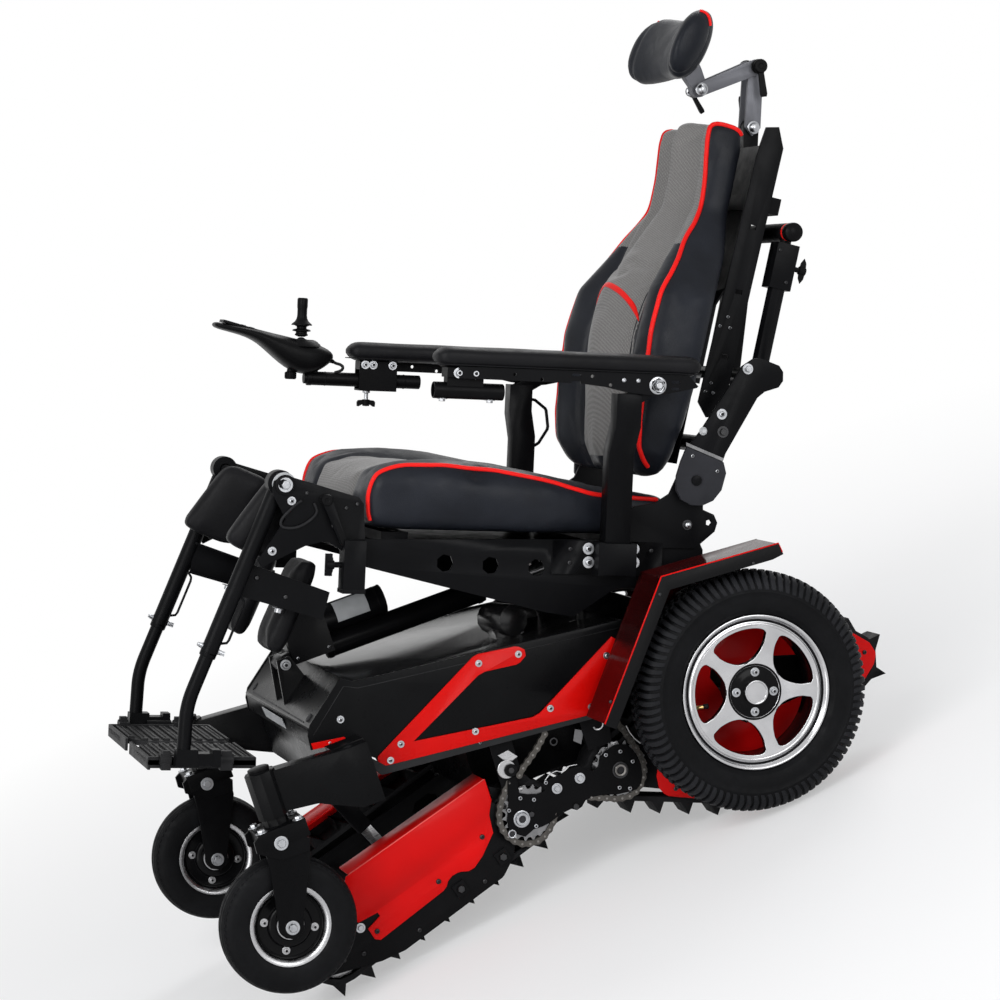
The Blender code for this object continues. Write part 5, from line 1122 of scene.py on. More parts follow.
def arm_pad(side):
    bm = bmesh.new()
    stations = []
    low, high = -0.332, 0.071
    for k in range(41):
        share = k / 40
        y = low + (high - low) * share
        end = min(y - low, high - y)
        fall = math.sqrt(max(0.0, 1.0 - (1.0 - min(1.0, end / 0.017)) ** 2)) if end < 0.017 else 1.0
        fall = max(fall, 0.2)
        width = 0.029 * np.interp(share, [0.0, 0.15, 0.9, 1.0], [0.92, 1.0, 1.0, 0.96])
        swell = 0.0006 * math.sin(share * 21.0)
        stations.append((y, -side * 0.005, 0.0288, width * (0.55 + 0.45 * fall),
                (0.0152 + swell * 0.4) * fall))
    add_loft(bm, stations, FLIP[side], 36, 2.7)
    pad = from_bmesh(f"arm_pad_{SIDE[side]}", bm, "pad", f"arm_{SIDE[side]}")
    modify(pad, "fine", "SUBSURF", levels=1, render_levels=1)
    bm = bmesh.new()
    ring = []
    for k in range(64):
        x, y = oval(2 * math.pi * k / 64, (0.35, 0.16), 0.0272, 0.1995)
        ring.append(FLIP[side] @ Vector((x - side * 0.005, y - 0.1305, 0.018)))
    add_tube(bm, ring + ring[:1], 0.0009, 6, 0, False)
    seam = from_bmesh(f"arm_pad_seam_{SIDE[side]}", bm, "pad", f"arm_{SIDE[side]}")


def arm_rail(side):
    name = SIDE[side]
    matrix = FLIP[side]
    bm = bmesh.new()
    outline = mm((-300, 16), (47, 17), (63, 1), (60.5, -1.5), (10, -13), (-4, -14.6), (-18, -14),
            (-50, -11), (-80, -5), (-120, -1.5), (-299, -1))
    add_plate(bm, outline, side * 0.015, side * 0.0188, matrix)
    rail = from_bmesh(f"arm_rail_{name}", bm, "seat", f"arm_{name}")
    middle = side * 0.0169
    round_holes = mm((-217, 7.5), (-176, 2), (-100, 9.5), (-72, -2))
    slots = mm((-124, 10.5), (-124, -0.5), (28, 6), (28, -4))
    holes = [(moved(matrix, middle, y, z), 0.0026, 0.006) for y, z in round_holes]
    drilled(rail, holes + [(moved(matrix, middle, y, z), (0.007, 0.002), 0.006) for y, z in slots])
    soften(rail, 0.0004, 2, 40)
    bm = bmesh.new()
    mount(bm, matrix, side * 0.0188, mm((-52, 6), (-30, 6)), side, 0.0036, "button", False, 2, 2)
    # Pivot: washer, nut and the end of the bolt.
    turn = outward(matrix, side * 0.019, 0.0, 0.0, side)
    add_lathe(bm, mm((8.5, -0.2), (12.8, 0), (13, 1.4), (12.2, 2), (8.5, 2)), turn, 32)
    add_lathe(bm, mm((0, 4.2), (9, 4.2), (10, 4.6), (10, 1), (0, 1)), turn, 6)
    add_lathe(bm, mm((0, 9.8), (4.2, 9.8), (5, 9), (5, 4), (0, 4)), turn, 20)
    tube_x = side * (CLAMP_X - ARM_X)
    if side > 0:
        mount(bm, matrix, tube_x + 0.0176, mm((-299.5, 6.5), (-275, 6.5)), side, 0.0044, "cap")
        for y in (-0.318, -0.247):
            add_bolt(bm, facing(matrix @ Vector((tube_x, y, -0.0305)), matrix.to_3x3() @ DOWN), 0.0044,
                    "hex")
    else:
        for flank, x in ((1, tube_x + 0.015), (-1, tube_x - 0.0175)):
            mount(bm, matrix, x, mm((-303, 8), (-290, 8), (-258, 8)), flank, 0.004, "cap")
    from_bmesh(f"arm_bolts_{name}", bm, "zinc socket zinc", f"arm_{name}",
            edge=SMALL_EDGE)

    bm = bmesh.new()
    if side > 0:
        add_box(bm, (tube_x - 0.015, -0.316, 0.0), (tube_x + 0.0175, -0.258, 0.014), matrix)
        add_box(bm, (tube_x - 0.01, -0.314, -0.015), (tube_x + 0.01, -0.26, 0.001), matrix)
        pipe = turned(moved(matrix, tube_x, -0.332, -0.019), 90, "Z")
        add_lathe(bm, mm((0, 10), (9.8, 10), (9.8, 0), (11.4, 0), (12, 0.6), (12, 103.4), (11.4, 104),
                (9.8, 104), (9.8, 94), (0, 94)), pipe, 36)
    else:
        add_box(bm, (tube_x - 0.0175, -0.312, 0.0), (tube_x + 0.015, -0.25, 0.014), matrix)
        for low, high in mm((13.2, 15), (-17.5, -13.2)):
            add_box(bm, (tube_x + low, -0.312, -0.032), (tube_x + high, -0.25, 0.001), matrix)
        add_box(bm, (tube_x - 0.0175, -0.312, -0.0335), (tube_x + 0.015, -0.25, -0.031), matrix)
    clamp = from_bmesh(f"arm_clamp_{name}", bm, "bracket", f"arm_{name}",
            edge=(0.0008, 2, 40))
    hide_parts(f"armrest_{name}")
    if side < 0:
        bm = bmesh.new()
        spot = facing(matrix @ Vector((tube_x, -0.296, -0.0335)), matrix.to_3x3() @ DOWN)
        add_lathe(bm, mm((0, 0), (6.2, 0), (6.2, 3.5), (3.4, 4), (3.4, 17), (0, 17)), spot, 24, 1)
        for flank in (1, -1):
            blade = mm((3, -48), (13, -49), (15, -52), (14.6, -58.8), (12, -59), (7, -56), (0, -56),
                    (0, -47.8))
            add_plate(bm, [(-0.296 + flank * a, b) for a, b in blade], tube_x - 0.0028, tube_x + 0.0028,
                    matrix)
        add_lathe(bm, mm((0, 14), (6.2, 14), (5.6, 24.5), (0, 25)), spot, 20)
        from_bmesh("arm_wing_screw", bm, "plastic zinc", "arm_right",
                edge=(0.0006, 2, 40))


def controller():
    matrix = CONTROL
    bm = bmesh.new()
    body = mm((-142.5, 78.5, 1, 10), (-141.8, 78.5, 3, 15), (-139, 78, 4.8, 18.5),
            (-130, 76.2, 5.6, 21.5), (-110, 72.8, 6.4, 24.5), (-87, 68.5, 7.8, 27.5),
            (-68, 62.2, 11.2, 30.5), (-50, 52.5, 17, 33), (-33, 44, 22.5, 34), (-15, 36.5, 26.5, 34),
            (2, 32.5, 27, 33.5), (18, 31.8, 24.5, 32), (32, 33, 19, 28), (43, 34.5, 12.5, 21.5),
            (49.5, 35, 7, 14), (52, 35.2, 3, 7))
    add_loft(bm, [(y, 0.0, z, hx, hz) for y, z, hz, hx in body], matrix, 40, 2.5)
    shell = from_bmesh("controller_shell", bm, "plastic", "controller")
    modify(shell, "fine", "SUBSURF", levels=1, render_levels=1)
    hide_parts("joystick_box")

    bm = bmesh.new()
    up = Matrix.Rotation(math.radians(-90), 4, "Y")
    at = matrix @ up
    add_lathe(bm, mm((33, 50), (30, 54.5), (27.5, 56.2), (26.2, 58), (24, 58.8), (22.8, 60), (0, 60)),
            at, 48)
    add_lathe(bm, mm((21.2, 59), (20.8, 60.6), (18, 60.9), (17.2, 59.8)), at, 40, 1)
    add_lathe(bm, mm((11, 59.8), (9, 61.2), (6.6, 61.8), (6, 62.2), (4.8, 63.4), (2.6, 64.3),
            (0, 64.6)), at, 32, 1)
    # Ribbed knob below, and the tube with its collars.
    knob = mm((0, -3), (8.2, -2.8), (8.8, -1), (8.8, 8), (6.2, 9.5), (5.5, 16))
    spot = moved(matrix, 0.0, -0.015, 0.0)
    add_lathe(bm, knob, spot @ up, 30)
    for k in range(14):
        add_box(bm, (-0.0008, 0.0082, -0.0012), (0.0008, 0.0096, 0.0078),
                turned(spot, 360 * k / 14, "Z"))
    pipe = turned(matrix, 90, "Z")
    add_lathe(bm, mm((0, 6), (8.8, 6), (8.8, 11), (10.4, 11), (11, 11.6), (11, 196.4), (10.4, 197),
            (8.8, 197), (8.8, 190), (0, 190)), pipe, 36)
    for low, high in mm((11, 19), (40, 42), (169, 172)):
        add_lathe(bm, [(0.0108, low), (0.0116, low + 0.0006), (0.0116, high - 0.0006), (0.0108, high)],
                pipe, 36)
    add_box(bm, (-0.006, 0.014, 0.006), (0.006, 0.028, 0.015), matrix)
    add_tube(bm, placed(matrix, mm((6, 42, 31), (6, 49, 29))), (0.0048, 0.0046), 6)
    add_tube(bm, placed(matrix, mm((6, 49, 29), (6, 53, 27.2))), (0.0036, 0.003), 20)
    path = mm((6, 52, 27.6), (6.3, 57, 25.2), (8, 63, 23.6), (9.2, 67.2, 20.5), (8.5, 67, 16),
            (6, 62.5, 12.5), (3, 56, 10.5))
    add_tube(bm, [matrix @ p for p in curve_through(path, 8)], 0.0024, 12, 1)
    from_bmesh("controller_parts", bm, "plastic cable", "controller",
            edge=(0.0004, 2, 42))

    # Flush key panel on the tongue, with plain keys.
    bm = bmesh.new()
    face = turned(moved(matrix, 0.0, -0.096, 0.079), -13.5, "X")
    add_box(bm, (-0.0165, -0.034, -0.004), (0.0165, 0.03, 0.0001), face, 0)
    add_box(bm, (-0.012, -0.029, 0.0), (0.012, -0.008, 0.0005), face, 1)
    for row in range(2):
        for column in (-1, 0, 1):
            x, y = column * 0.009, row * 0.014
            add_box(bm, (x - 0.0032, y - 0.0042, 0.0), (x + 0.0032, y + 0.0042, 0.0011), face, 2, 0.85)
    from_bmesh("controller_keys", bm, "plastic glass grey_key", "controller",
            edge=(0.0004, 2, 40))

    stick = moved(CONTROL, 0.0, 0.0, 0.057) @ up
    profile = mm((0, 70), (6.2, 69.9), (7.8, 69), (8.4, 67.4), (8.4, 56), (7.8, 52), (7.8, 42),
            (8.6, 37), (11, 32.5), (15, 29.2), (16.6, 27.2), (16.4, 26.2), (12, 26.2), (8, 24), (8, 21),
            (13.6, 19.6), (14.8, 18), (14.4, 17), (9, 16), (9, 13.8), (10, 12.4), (10.6, 11.2),
            (10.2, 10.2), (7.2, 9), (5, 8), (0, 8))
    bm = bmesh.new()
    add_lathe(bm, profile, stick, 48)
    lever = from_bmesh("stick_lever", bm, "plastic", "stick", edge=(0.0003, 2, 50))
    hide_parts("joystick_lever")


def arm_post_details():
    for side in (1, -1):
        bm = bmesh.new()
        mount(bm, SEAT, side * SOCKET_X, mm((-50, 89), (-49, 69), (20, 90), (21, 70)), side, 0.005,
                "button")
        mount(bm, SEAT, side * SOCKET_X, mm((-78, 88), (-78, 68), (47, 88)), side, 0.0034, "button",
                False, 2)
        from_bmesh(f"socket_bolts_{SIDE[side]}", bm, "zinc socket black_bolt", "seat",
                edge=SMALL_EDGE)


def add_chain(bm, path, matrix, x, pitch=0.0122, index=0, dark=1):
    """A roller chain along (y, z) points of a frame, at a given x."""
    points = [Vector(p) for p in path]
    lengths = [0.0]
    for a, b in zip(points, points[1:]):
        lengths.append(lengths[-1] + (b - a).length)
    count = max(2, int(round(lengths[-1] / pitch)))
    pins = []
    for k in range(count + 1):
        distance = lengths[-1] * k / count
        j = min(len(points) - 2, max((i for i in range(len(points)) if lengths[i] <= distance + 1e-9)))
        share = (distance - lengths[j]) / max(1e-9, lengths[j + 1] - lengths[j])
        pins.append(points[j].lerp(points[j + 1], share))
    for pin in pins:
        spot = moved(matrix, x, pin.x, pin.y)
        add_lathe(bm, mm((0, -3.8), (1.7, -3.8), (1.9, -3.4), (1.9, 3.4), (1.7, 3.8), (0, 3.8)), spot,
                10, index)
        add_lathe(bm, mm((0, -1.6), (3.6, -1.6), (3.6, 1.6), (0, 1.6)), spot, 12, index)
    for k, (a, b) in enumerate(zip(pins, pins[1:])):
        offset = 0.0023 if k % 2 else 0.0017
        middle = (a + b) / 2
        half = (b - a).length / 2
        lean = math.degrees(math.atan2(b.y - a.y, b.x - a.x))
        spin = turned(moved(matrix, x, middle.x, middle.y), lean, "X")
        outline = slot_outline(half, 0.005)
        outline.insert(7, (0.0, 0.0036))
        outline.append((0.0, -0.0036))
        for flank in (1, -1):
            add_plate(bm, outline, flank * offset, flank * (offset + 0.0011), spin, dark)


def add_sprocket(bm, matrix, low, high, tip, teeth, index=0):
    """A toothed disc between two x positions of a frame."""
    outline = []
    for k in range(teeth):
        for share, r in ((0.0, tip - 0.0062), (0.14, tip - 0.0066), (0.28, tip - 0.0056),
                (0.42, tip - 0.002), (0.5, tip), (0.62, tip), (0.7, tip - 0.002), (0.86, tip - 0.0056)):
            angle = 2 * math.pi * (k + share) / teeth
            outline.append((r * math.cos(angle), r * math.sin(angle)))
    add_plate(bm, outline, low, high, matrix, index)


# Outlines and runs in (y, z) of the chassis frame.
TILT_PIVOT = (-0.598, 0.406)
BRACKET = mm((-370, 167), (-357, 164), (-359, 150), (-360, 139), (-349, 133), (-335, 128), (-322, 128),
        (-320, 140), (-314, 142.5), (-293, 143), (-285, 145), (-271, 146), (-260, 144), (-253, 136),
        (-244, 130), (-233, 133), (-226, 146), (-215, 152), (-202, 154), (-191, 153), (-181, 148),
        (-174, 136), (-171, 124), (-170, 112), (-172.5, 97), (-179, 84), (-188, 79), (-201, 80),
        (-220, 83), (-235, 89), (-256, 93), (-268, 92), (-276, 85), (-285, 83), (-292, 88), (-304, 87),
        (-317, 84), (-332, 80), (-343, 79), (-356, 80), (-372, 74), (-385, 84), (-392, 94), (-391, 106),
        (-386, 117), (-380, 131), (-377, 148))
CHAIN_UP = mm((-296, 208), (-304, 201), (-315, 191), (-334, 178), (-345, 171), (-352, 164))
CHAIN_FRONT = mm((-370, 159), (-376, 154), (-385, 143), (-393, 132), (-399, 121), (-402, 109),
        (-401, 96), (-397, 84), (-389, 73), (-379, 65), (-367, 61), (-355, 60.5), (-343, 64),
        (-333, 71), (-324, 80), (-317, 89))
CHAIN_REAR = mm((-190, 196), (-185, 184), (-180, 172), (-176, 160), (-172.5, 148), (-169, 137),
        (-166, 124), (-165.5, 111), (-169, 98), (-177, 85), (-189, 76), (-202, 73), (-214, 74.5),
        (-226, 78), (-236, 83), (-247, 88), (-258, 93))
TRIM_BOLTS = mm((-508, 274), (-361, 345), (-300, 337), (-397, 252), (-279, 244), (-173, 288),
        (-530, 257), (-219, 224))


def skirt_details(side):
    name = SIDE[side]
    bm = bmesh.new()
    mount(bm, CHASSIS, side * SKIRT_X, TRIM_BOLTS, side, 0.003, "button")
    mount(bm, CHASSIS, side * 0.2219, [(-0.5803, 0.339)], side, 0.0032, "button")
    mount(bm, CHASSIS, side * 0.223, mm((-606, 312.5), (-395.2, 233.5), (-568, 299)), side, 0.0024,
            "button", False)
    from_bmesh(f"skirt_bolts_{name}", bm, "zinc socket", "chassis", edge=SMALL_EDGE)

    # The turned lip below the red trim, in a grey lighter than the black skirt that paints edge light
    # on it, and the red nose end of the trim.
    bm = bmesh.new()
    lip = mm((-548, 241), (-215, 205.2), (-212, 213), (-221.5, 213), (-539, 252))
    low, high = side * 0.2216, side * 0.224
    add_plate(bm, lip, low, high, CHASSIS, 0)
    add_plate(bm, mm((-549, 241), (-539, 252), (-564, 280), (-580, 300), (-588, 299), (-585, 290),
            (-571, 274)), low, high, CHASSIS, 0)
    nose = mm((-632, 312), (-586, 304.5), (-580, 308), (-583.5, 313.5), (-632, 321.5))
    add_plate(bm, nose, low, high, CHASSIS, 1)
    from_bmesh(f"skirt_lip_{name}", bm, "fender_edge red", "chassis",
            edge=(0.0006, 2, 30))

    # Folded top edge of the skirt, as a thin tube in the lighter edge grey: a painted highlight line
    # along the fold.
    bm = bmesh.new()
    fold = mm((-625, 331), (-561, 383), (-542, 373.5), (-529, 371.5), (-300, 341), (-135, 319))
    add_tube(bm, placed(CHASSIS, fold, side * 0.2221), 0.0007, 6)
    from_bmesh(f"skirt_fold_painted_highlight_{name}", bm, "fender_edge", "chassis")

    # Edge line, stay and hook of the wheel cover.
    bm = bmesh.new()
    line = mm((97.5, 363.5), (96, 377.8), (0, 385.3), (-89.8, 392.6), (-160, 309.5), (-237, 219))
    add_tube(bm, placed(CHASSIS, line, side * 0.3346), 0.0012, 8, 0)
    hook = mm((-216.5, 209), (-211, 204), (-209, 197), (-211.5, 190.5), (-217.5, 188), (-223, 190),
            (-224.5, 194))
    add_tube(bm, curve_through(placed(CHASSIS, hook, side * 0.224), 5), 0.0014, 8, 1)
    mount(bm, CHASSIS, side * FENDER_X, mm((-219, 247), (-100, 369), (50, 363)), side, 0.0026, "button",
            False, 2, 2)
    from_bmesh(f"fender_edge_{name}", bm, "red steel black_bolt", "chassis",
            edge=SMALL_EDGE)


def track_bracket(side):
    name = SIDE[side]
    bm = bmesh.new()
    add_plate(bm, BRACKET, side * 0.2127, side * BRACKET_X, CHASSIS)
    # Straps behind it, in front and at the back.
    front = mm((-383, 150), (-380, 257), (-346, 253), (-347, 170), (-355, 160), (-360, 150))
    rear = mm((-240, 242), (-200, 238), (-198, 180), (-202, 160), (-240, 160))
    for strap in (front, rear):
        add_plate(bm, strap, side * 0.2096, side * 0.2124, CHASSIS)
    plate = from_bmesh(f"bracket_plate_{name}", bm, "bracket", "chassis",
            edge=(0.0006, 2, 30))
    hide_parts(f"track_bracket_{name}")

    bm = bmesh.new()
    face = side * BRACKET_X
    mount(bm, CHASSIS, face, mm((-304, 125), (-266, 127)), side, 0.0046, "hex")
    mount(bm, CHASSIS, face, mm((-318, 140), (-362, 132), (-343, 122.5), (-384, 121), (-352, 84),
            (-218, 146), (-195, 143), (-181.5, 122), (-213, 92), (-198, 85)), side, 0.003, "cap", False)
    mount(bm, CHASSIS, face, mm((-285, 89.5)), side, 0.0042, "hex", False, 2)
    mount(bm, CHASSIS, face, mm((-353, 103)), side, 0.004, "hex", False, 2)

    def ring(y, z, inner, outer, depth, index, core=1):
        spot = outward(CHASSIS, face, y, z, side)
        profile = [(inner, -0.0004), (outer, 0.0), (outer, depth * 0.8), (outer - 0.0006, depth)]
        add_lathe(bm, profile + [(inner + 0.0006, depth), (inner, depth * 0.85)], spot, 28, index, True)
        add_lathe(bm, [(0.0, depth * 0.35), (inner, depth * 0.35)], spot, 20, core)

    ring(-0.369, 0.1015, 0.0052, 0.0098, 0.005, 0)
    ring(-0.369, 0.1015, 0.0098, 0.0128, 0.0016, 0)
    ring(-0.39, 0.086, 0.0044, 0.0066, 0.003, 0)
    ring(-0.203, 0.116, 0.0056, 0.0092, 0.003, 3)
    ring(-0.203, 0.116, 0.01, 0.0125, 0.0012, 2)
    from_bmesh(f"bracket_bolts_{name}", bm, "zinc socket black_bolt pin", "chassis",
            edge=SMALL_EDGE)

    bm = bmesh.new()
    for path in (CHAIN_UP, CHAIN_FRONT, CHAIN_REAR):
        add_chain(bm, path, CHASSIS, side * CHAIN_X)
    from_bmesh(f"drive_chains_{name}", bm, "pin chain", "chassis", False)
    for end, hub, tip, teeth in (("front", (-0.355, 0.105), 0.0425, 20),
            ("rear", (-0.203, 0.116), 0.044, 21)):
        bm = bmesh.new()
        add_sprocket(bm, moved(CHASSIS, 0.0, *hub), side * 0.21, side * 0.2118, tip, teeth)
        from_bmesh(f"sprocket_{end}_{name}", bm, "steel_dark", f"{end}_drive_shaft",
                False, edge=(0.0004, 1, 30))

    # Cross shaft above the front hub: clamp block, ring and black stub, and small fittings beside it.
    bm = bmesh.new()
    block = mm((-374, 204), (-357, 206), (-346, 192), (-356, 189), (-369, 196))
    add_plate(bm, block, side * 0.209, side * 0.216, CHASSIS, 0)
    add_plate(bm, mm((-249, 198), (-237, 191), (-247, 173), (-257, 182)), side * 0.208, side * 0.21,
            CHASSIS, 2)

    def collar(y, z, rings, index):
        add_lathe(bm, rings, outward(CHASSIS, side * SHAFT_X, y, z, side), 32, index)

    collar(-0.368, 0.18, mm((0, 0), (13.5, 0), (14, 0.8), (14, 3.8), (13.2, 4.6), (0, 4.6)), 0)
    collar(-0.363, 0.177, mm((0, 3), (9.6, 3), (9.6, 7.8), (8.8, 8.6), (0, 8.6)), 1)
    collar(-0.363, 0.177, mm((0, 8), (4.2, 8), (4.2, 9.6), (0, 9.8)), 3)
    collar(-0.287, 0.193, mm((4, 0), (6.2, 0), (6.4, 2), (5.8, 3), (4.2, 3), (4, 0)), 3)
    guard = mm((-174, 176), (-172, 165), (-168, 154), (-161, 143))
    add_tube(bm, placed(CHASSIS, guard, side * 0.215), 0.0011, 8, 0)
    wire = mm((-318, 143), (-308, 149), (-297, 150), (-290, 146.5), (-278, 150), (-264, 148))
    add_tube(bm, curve_through(placed(CHASSIS, wire, side * 0.2152), 6), 0.0009, 8, 0)
    from_bmesh(f"shaft_fittings_{name}", bm, "steel plastic motor black_bolt", "chassis",
            edge=(0.0004, 2, 40))


def cover_details(side):
    name = SIDE[side]
    bm = bmesh.new()
    mount(bm, FRONT, side * 0.2066, mm((-282, -8), (-167, -3), (-77, 12)), side, 0.004, "button", False)
    mount(bm, FRONT, side * FRONT_X, mm((-299, 10.5)), side, 0.0042, "hex", True, 2)
    small = mm((-316, -24), (-345, -14), (-110, -46), (-230, -46), (-330, 14))
    mount(bm, FRONT, side * FRONT_X, small, side, 0.0036, "button", False)
    mount(bm, FRONT, side * BOSS_X, mm((-146, -32), (-68, -31)), side, 0.0052, "hex", False)
    from_bmesh(f"cover_bolts_{name}", bm, "black_bolt socket zinc", "front_module",
            edge=SMALL_EDGE)
    bm = bmesh.new()
    # A thin strip on the cover's top edge in a lighter pink red: a painted highlight.
    edge = mm((-27.5, 82.2), (-270, 87.8), (-270, 86.2), (-27.5, 80.6))
    add_plate(bm, edge, side * 0.2062, side * 0.2072, FRONT, 0)
    from_bmesh(f"cover_edge_painted_highlight_{name}", bm, "red_painted_highlight", "front_module")
    bm = bmesh.new()
    spots = mm((75, -60), (140, -88), (200, -70), (330, -24), (425, 30), (300, 110), (250, 136))
    mount(bm, REAR, side * 0.2067, spots, side, 0.0036, "button", False)
    from_bmesh(f"rear_cover_bolts_{name}", bm, "black_bolt socket", "rear_module",
            edge=SMALL_EDGE)


def fork_details(side):
    name = SIDE[side]
    at = CASTER[side]
    cheek = mm((-1, 142.5), (-13.8, 135.1), (-14.7, 118.6), (16.1, 97.5), (58.1, 96.5), (63, 112.7),
            (49, 129.7))
    bm = bmesh.new()
    for flank in (1, -1):
        mount(bm, at, flank * 0.0316, [(0.0, 0.0)], flank, 0.0058, "hex")
        mount(bm, at, flank * 0.0345, [(0.0224, 0.121)], flank, 0.0058, "hex")
        add_plate(bm, cheek, flank * 0.029, flank * 0.0345, at, 2)
    swivel = SWIVEL[side]
    for y in (-0.028, 0.028):
        for x in (-0.0245, 0.0245):
            add_bolt(bm, facing(swivel @ Vector((x, y, -0.0076)), swivel.to_3x3() @ -DOWN), 0.005,
                    "hex")
    from_bmesh(f"fork_bolts_{name}", bm, "zinc socket fork", f"fork_{name}",
            edge=SMALL_EDGE)
    bm = bmesh.new()
    add_lathe(bm, mm((0, 77.5), (14.2, 77.2), (15.8, 76.4), (16, 74), (15.2, 73.5), (15.2, 69)),
            turned(swivel, -90, "Y"), 40)
    from_bmesh(f"stem_cap_{name}", bm, "plastic", "chassis", edge=(0.0004, 2, 45))


def deck_details():
    bm = bmesh.new()
    # The nose slopes from point a to point b.
    a, b = Vector((-0.63, 0.341)), Vector((-0.56, 0.3945))
    along = (b - a).normalized()
    out = Vector((-along.y, along.x))
    tilt = math.degrees(math.atan2(along.y, along.x))

    def on_nose(x, distance, lift):
        p = a + along * distance + out * lift
        return turned(moved(CHASSIS, x, p.x, p.y), tilt, "X")

    for x in (-0.188, 0.188):
        spot = turned(on_nose(x, 0.016, 0.0006), -90, "Y")
        add_lathe(bm, mm((0, 1.2), (5, 1.1), (6.6, 0.6), (7, -0.6)), spot, 28, 1)
    for low, high in mm((-180, -95), (-85, -10), (0, 80), (90, 175)):
        add_box(bm, (low, -0.001, 0.0), (high, 0.0012, 0.0003), on_nose(0.0, 0.0065, 0.0003), 1)
    for flank in (1, -1):
        mount(bm, CHASSIS, flank * 0.0291, [TILT_PIVOT], flank, 0.0046, "cap", True, 2, 3)
    # Bare plate on the nose.
    face = turned(moved(CHASSIS, 0.0, -0.6334, 0.3285), -83.5, "X")
    add_box(bm, (-0.085, -0.0085, -0.0002), (0.06, 0.0085, 0.0009), face, 4, 0.985)
    for x in (-0.079, 0.054):
        add_lathe(bm, mm((0, 1.8), (1.8, 1.6), (2.2, 0.8)), turned(moved(face, x, 0.0, 0.0), -90, "Y"),
                16, 2)
    # Deck screws along both long edges; the deck falls by 52.9 mm in 398.5 mm.
    for share in (0.12, 0.37, 0.62, 0.87):
        y = -0.525 + 0.385 * share
        z = 0.3795 - 0.0529 * (y + 0.533) / 0.3985
        for x in (-0.205, 0.205):
            spot = turned(moved(CHASSIS, x, y, z + 0.0001), -7.6, "X")
            add_lathe(bm, mm((0, 1.8), (2.2, 1.6), (3.6, 0.6), (3.7, -0.4)), turned(spot, -90, "Y"), 18,
                    5)
    from_bmesh("deck_fittings", bm, "deck socket zinc socket label black_bolt", "chassis",
            edge=SMALL_EDGE)


def headrest():
    """A saddle pad: upright wings that curve forward, on a grey bracket."""
    count, sides = 44, 40
    bm = bmesh.new()
    rings = []
    for k in range(count + 1):
        u = math.sin(math.pi / 2 * (2 * k / count - 1))
        across = abs(u)
        end = math.sqrt(max(0.0, 1.0 - max(0.0, (across - 0.62) / 0.38) ** 2.6))
        tall = (0.048 + 0.0075 * min(1.0, across / 0.7)) * (0.3 + 0.7 * end)
        deep = (0.03 - 0.002 * across) * (0.3 + 0.7 * end)
        ring = []
        for j in range(sides):
            y, z = oval(2 * math.pi * j / sides, (0.92, 0.9), deep, tall)
            ring.append(bm.verts.new(HEAD @ Vector((0.111 * u,
                    -0.04 - 0.029 * across ** 2.2 + y + 0.2 * z, 0.054 + z))))
        rings.append(ring)
    join_rings(bm, rings)
    bmesh.ops.recalc_face_normals(bm, faces=bm.faces)
    obj = soft_form("headrest_cover", bm, 0.0036, 5)
    # A sewn seam round each wing parts the front panel from the side.
    p = local(HEAD, coordinates(obj))
    line = np.abs(np.abs(p[:, 0]) - (0.088 + 0.1 * (p[:, 1] + 0.06)))
    pull = 0.003 * np.clip(1.0 - line / 0.008, 0.0, 1.0) ** 1.5
    middle = np.stack([np.sign(p[:, 0]) * 0.085, -0.042 - 0.03 * (np.abs(p[:, 0]) / 0.111) ** 2.2,
            np.full(len(p), 0.054)], 1)
    inward = middle - p
    inward[:, 0] = 0.0
    inward /= np.maximum(np.linalg.norm(inward, axis=1, keepdims=True), 1e-6)
    p += inward * pull[:, None]
    set_coordinates(obj, world(HEAD, p))
    held = np.maximum(np.clip(1.0 - line / 0.004, 0.0, 1.0),
            np.clip((0.01 - p[:, 2]) / 0.006, 0.0, 1.0))
    inflate(obj, held, 0.003)
    finish_soft(obj, "headrest_cushion", "head_cushion", "leather", None)
    tree = tree_of(obj)
    bm = bmesh.new()
    for side in (1, -1):
        rear = mm((96, -56, 108), (99, -42, 106), (101, -32, 98), (101, -27, 86))
        add_tube(bm, on_surface(tree, placed(HEAD, mirrored(rear, side)), 10, 0.0008), 0.0026, 10, 0)
        seam = []
        for j in range(25):
            angle = math.radians(-120 + 10 * j)
            y = -0.064 + 0.03 * math.cos(angle) + 0.011 * math.sin(angle)
            z = 0.054 + 0.054 * math.sin(angle)
            seam.append(HEAD @ Vector((side * (0.088 + 0.1 * (y + 0.06)), y, z)))
        add_tube(bm, on_surface(tree, seam, 3, -0.0002), 0.0009, 8, 1)
    piping = from_bmesh("headrest_piping", bm, "piping leather", "head_cushion")
    bm = bmesh.new()
    add_plate(bm, mm((-12, 0), (-8.5, -8.5), (0, -12), (8.5, -8.5), (12, 0), (10, 13), (-3, 33),
            (-15, 48), (-40, 48), (-36, 20)), -0.0078, 0.0078, HEAD)
    from_bmesh("headrest_bracket", bm, "link", "head_cushion", edge=(0.001, 2, 30))


def dome(bm, matrix, x, y, z, side, radius, index=0, dark=0):
    """A polished domed nut on a washer, facing sideways."""
    spot = outward(matrix, x, y, z, side)
    washer = ((0.0, -0.0003), (1.32, -0.0003), (1.36, 0.0006), (1.28, 0.0014), (0.0, 0.0014))
    add_lathe(bm, [(radius * r, x) for r, x in washer], spot, 28, dark)
    nut = ((0.0, 0.0014), (1.0, 0.0014), (1.0, 0.0022), (0.92, 0.0042), (0.72, 0.0062), (0.4, 0.0074),
            (0.0, 0.0078))
    add_lathe(bm, [(radius * r, x) for r, x in nut], spot, 28, index)


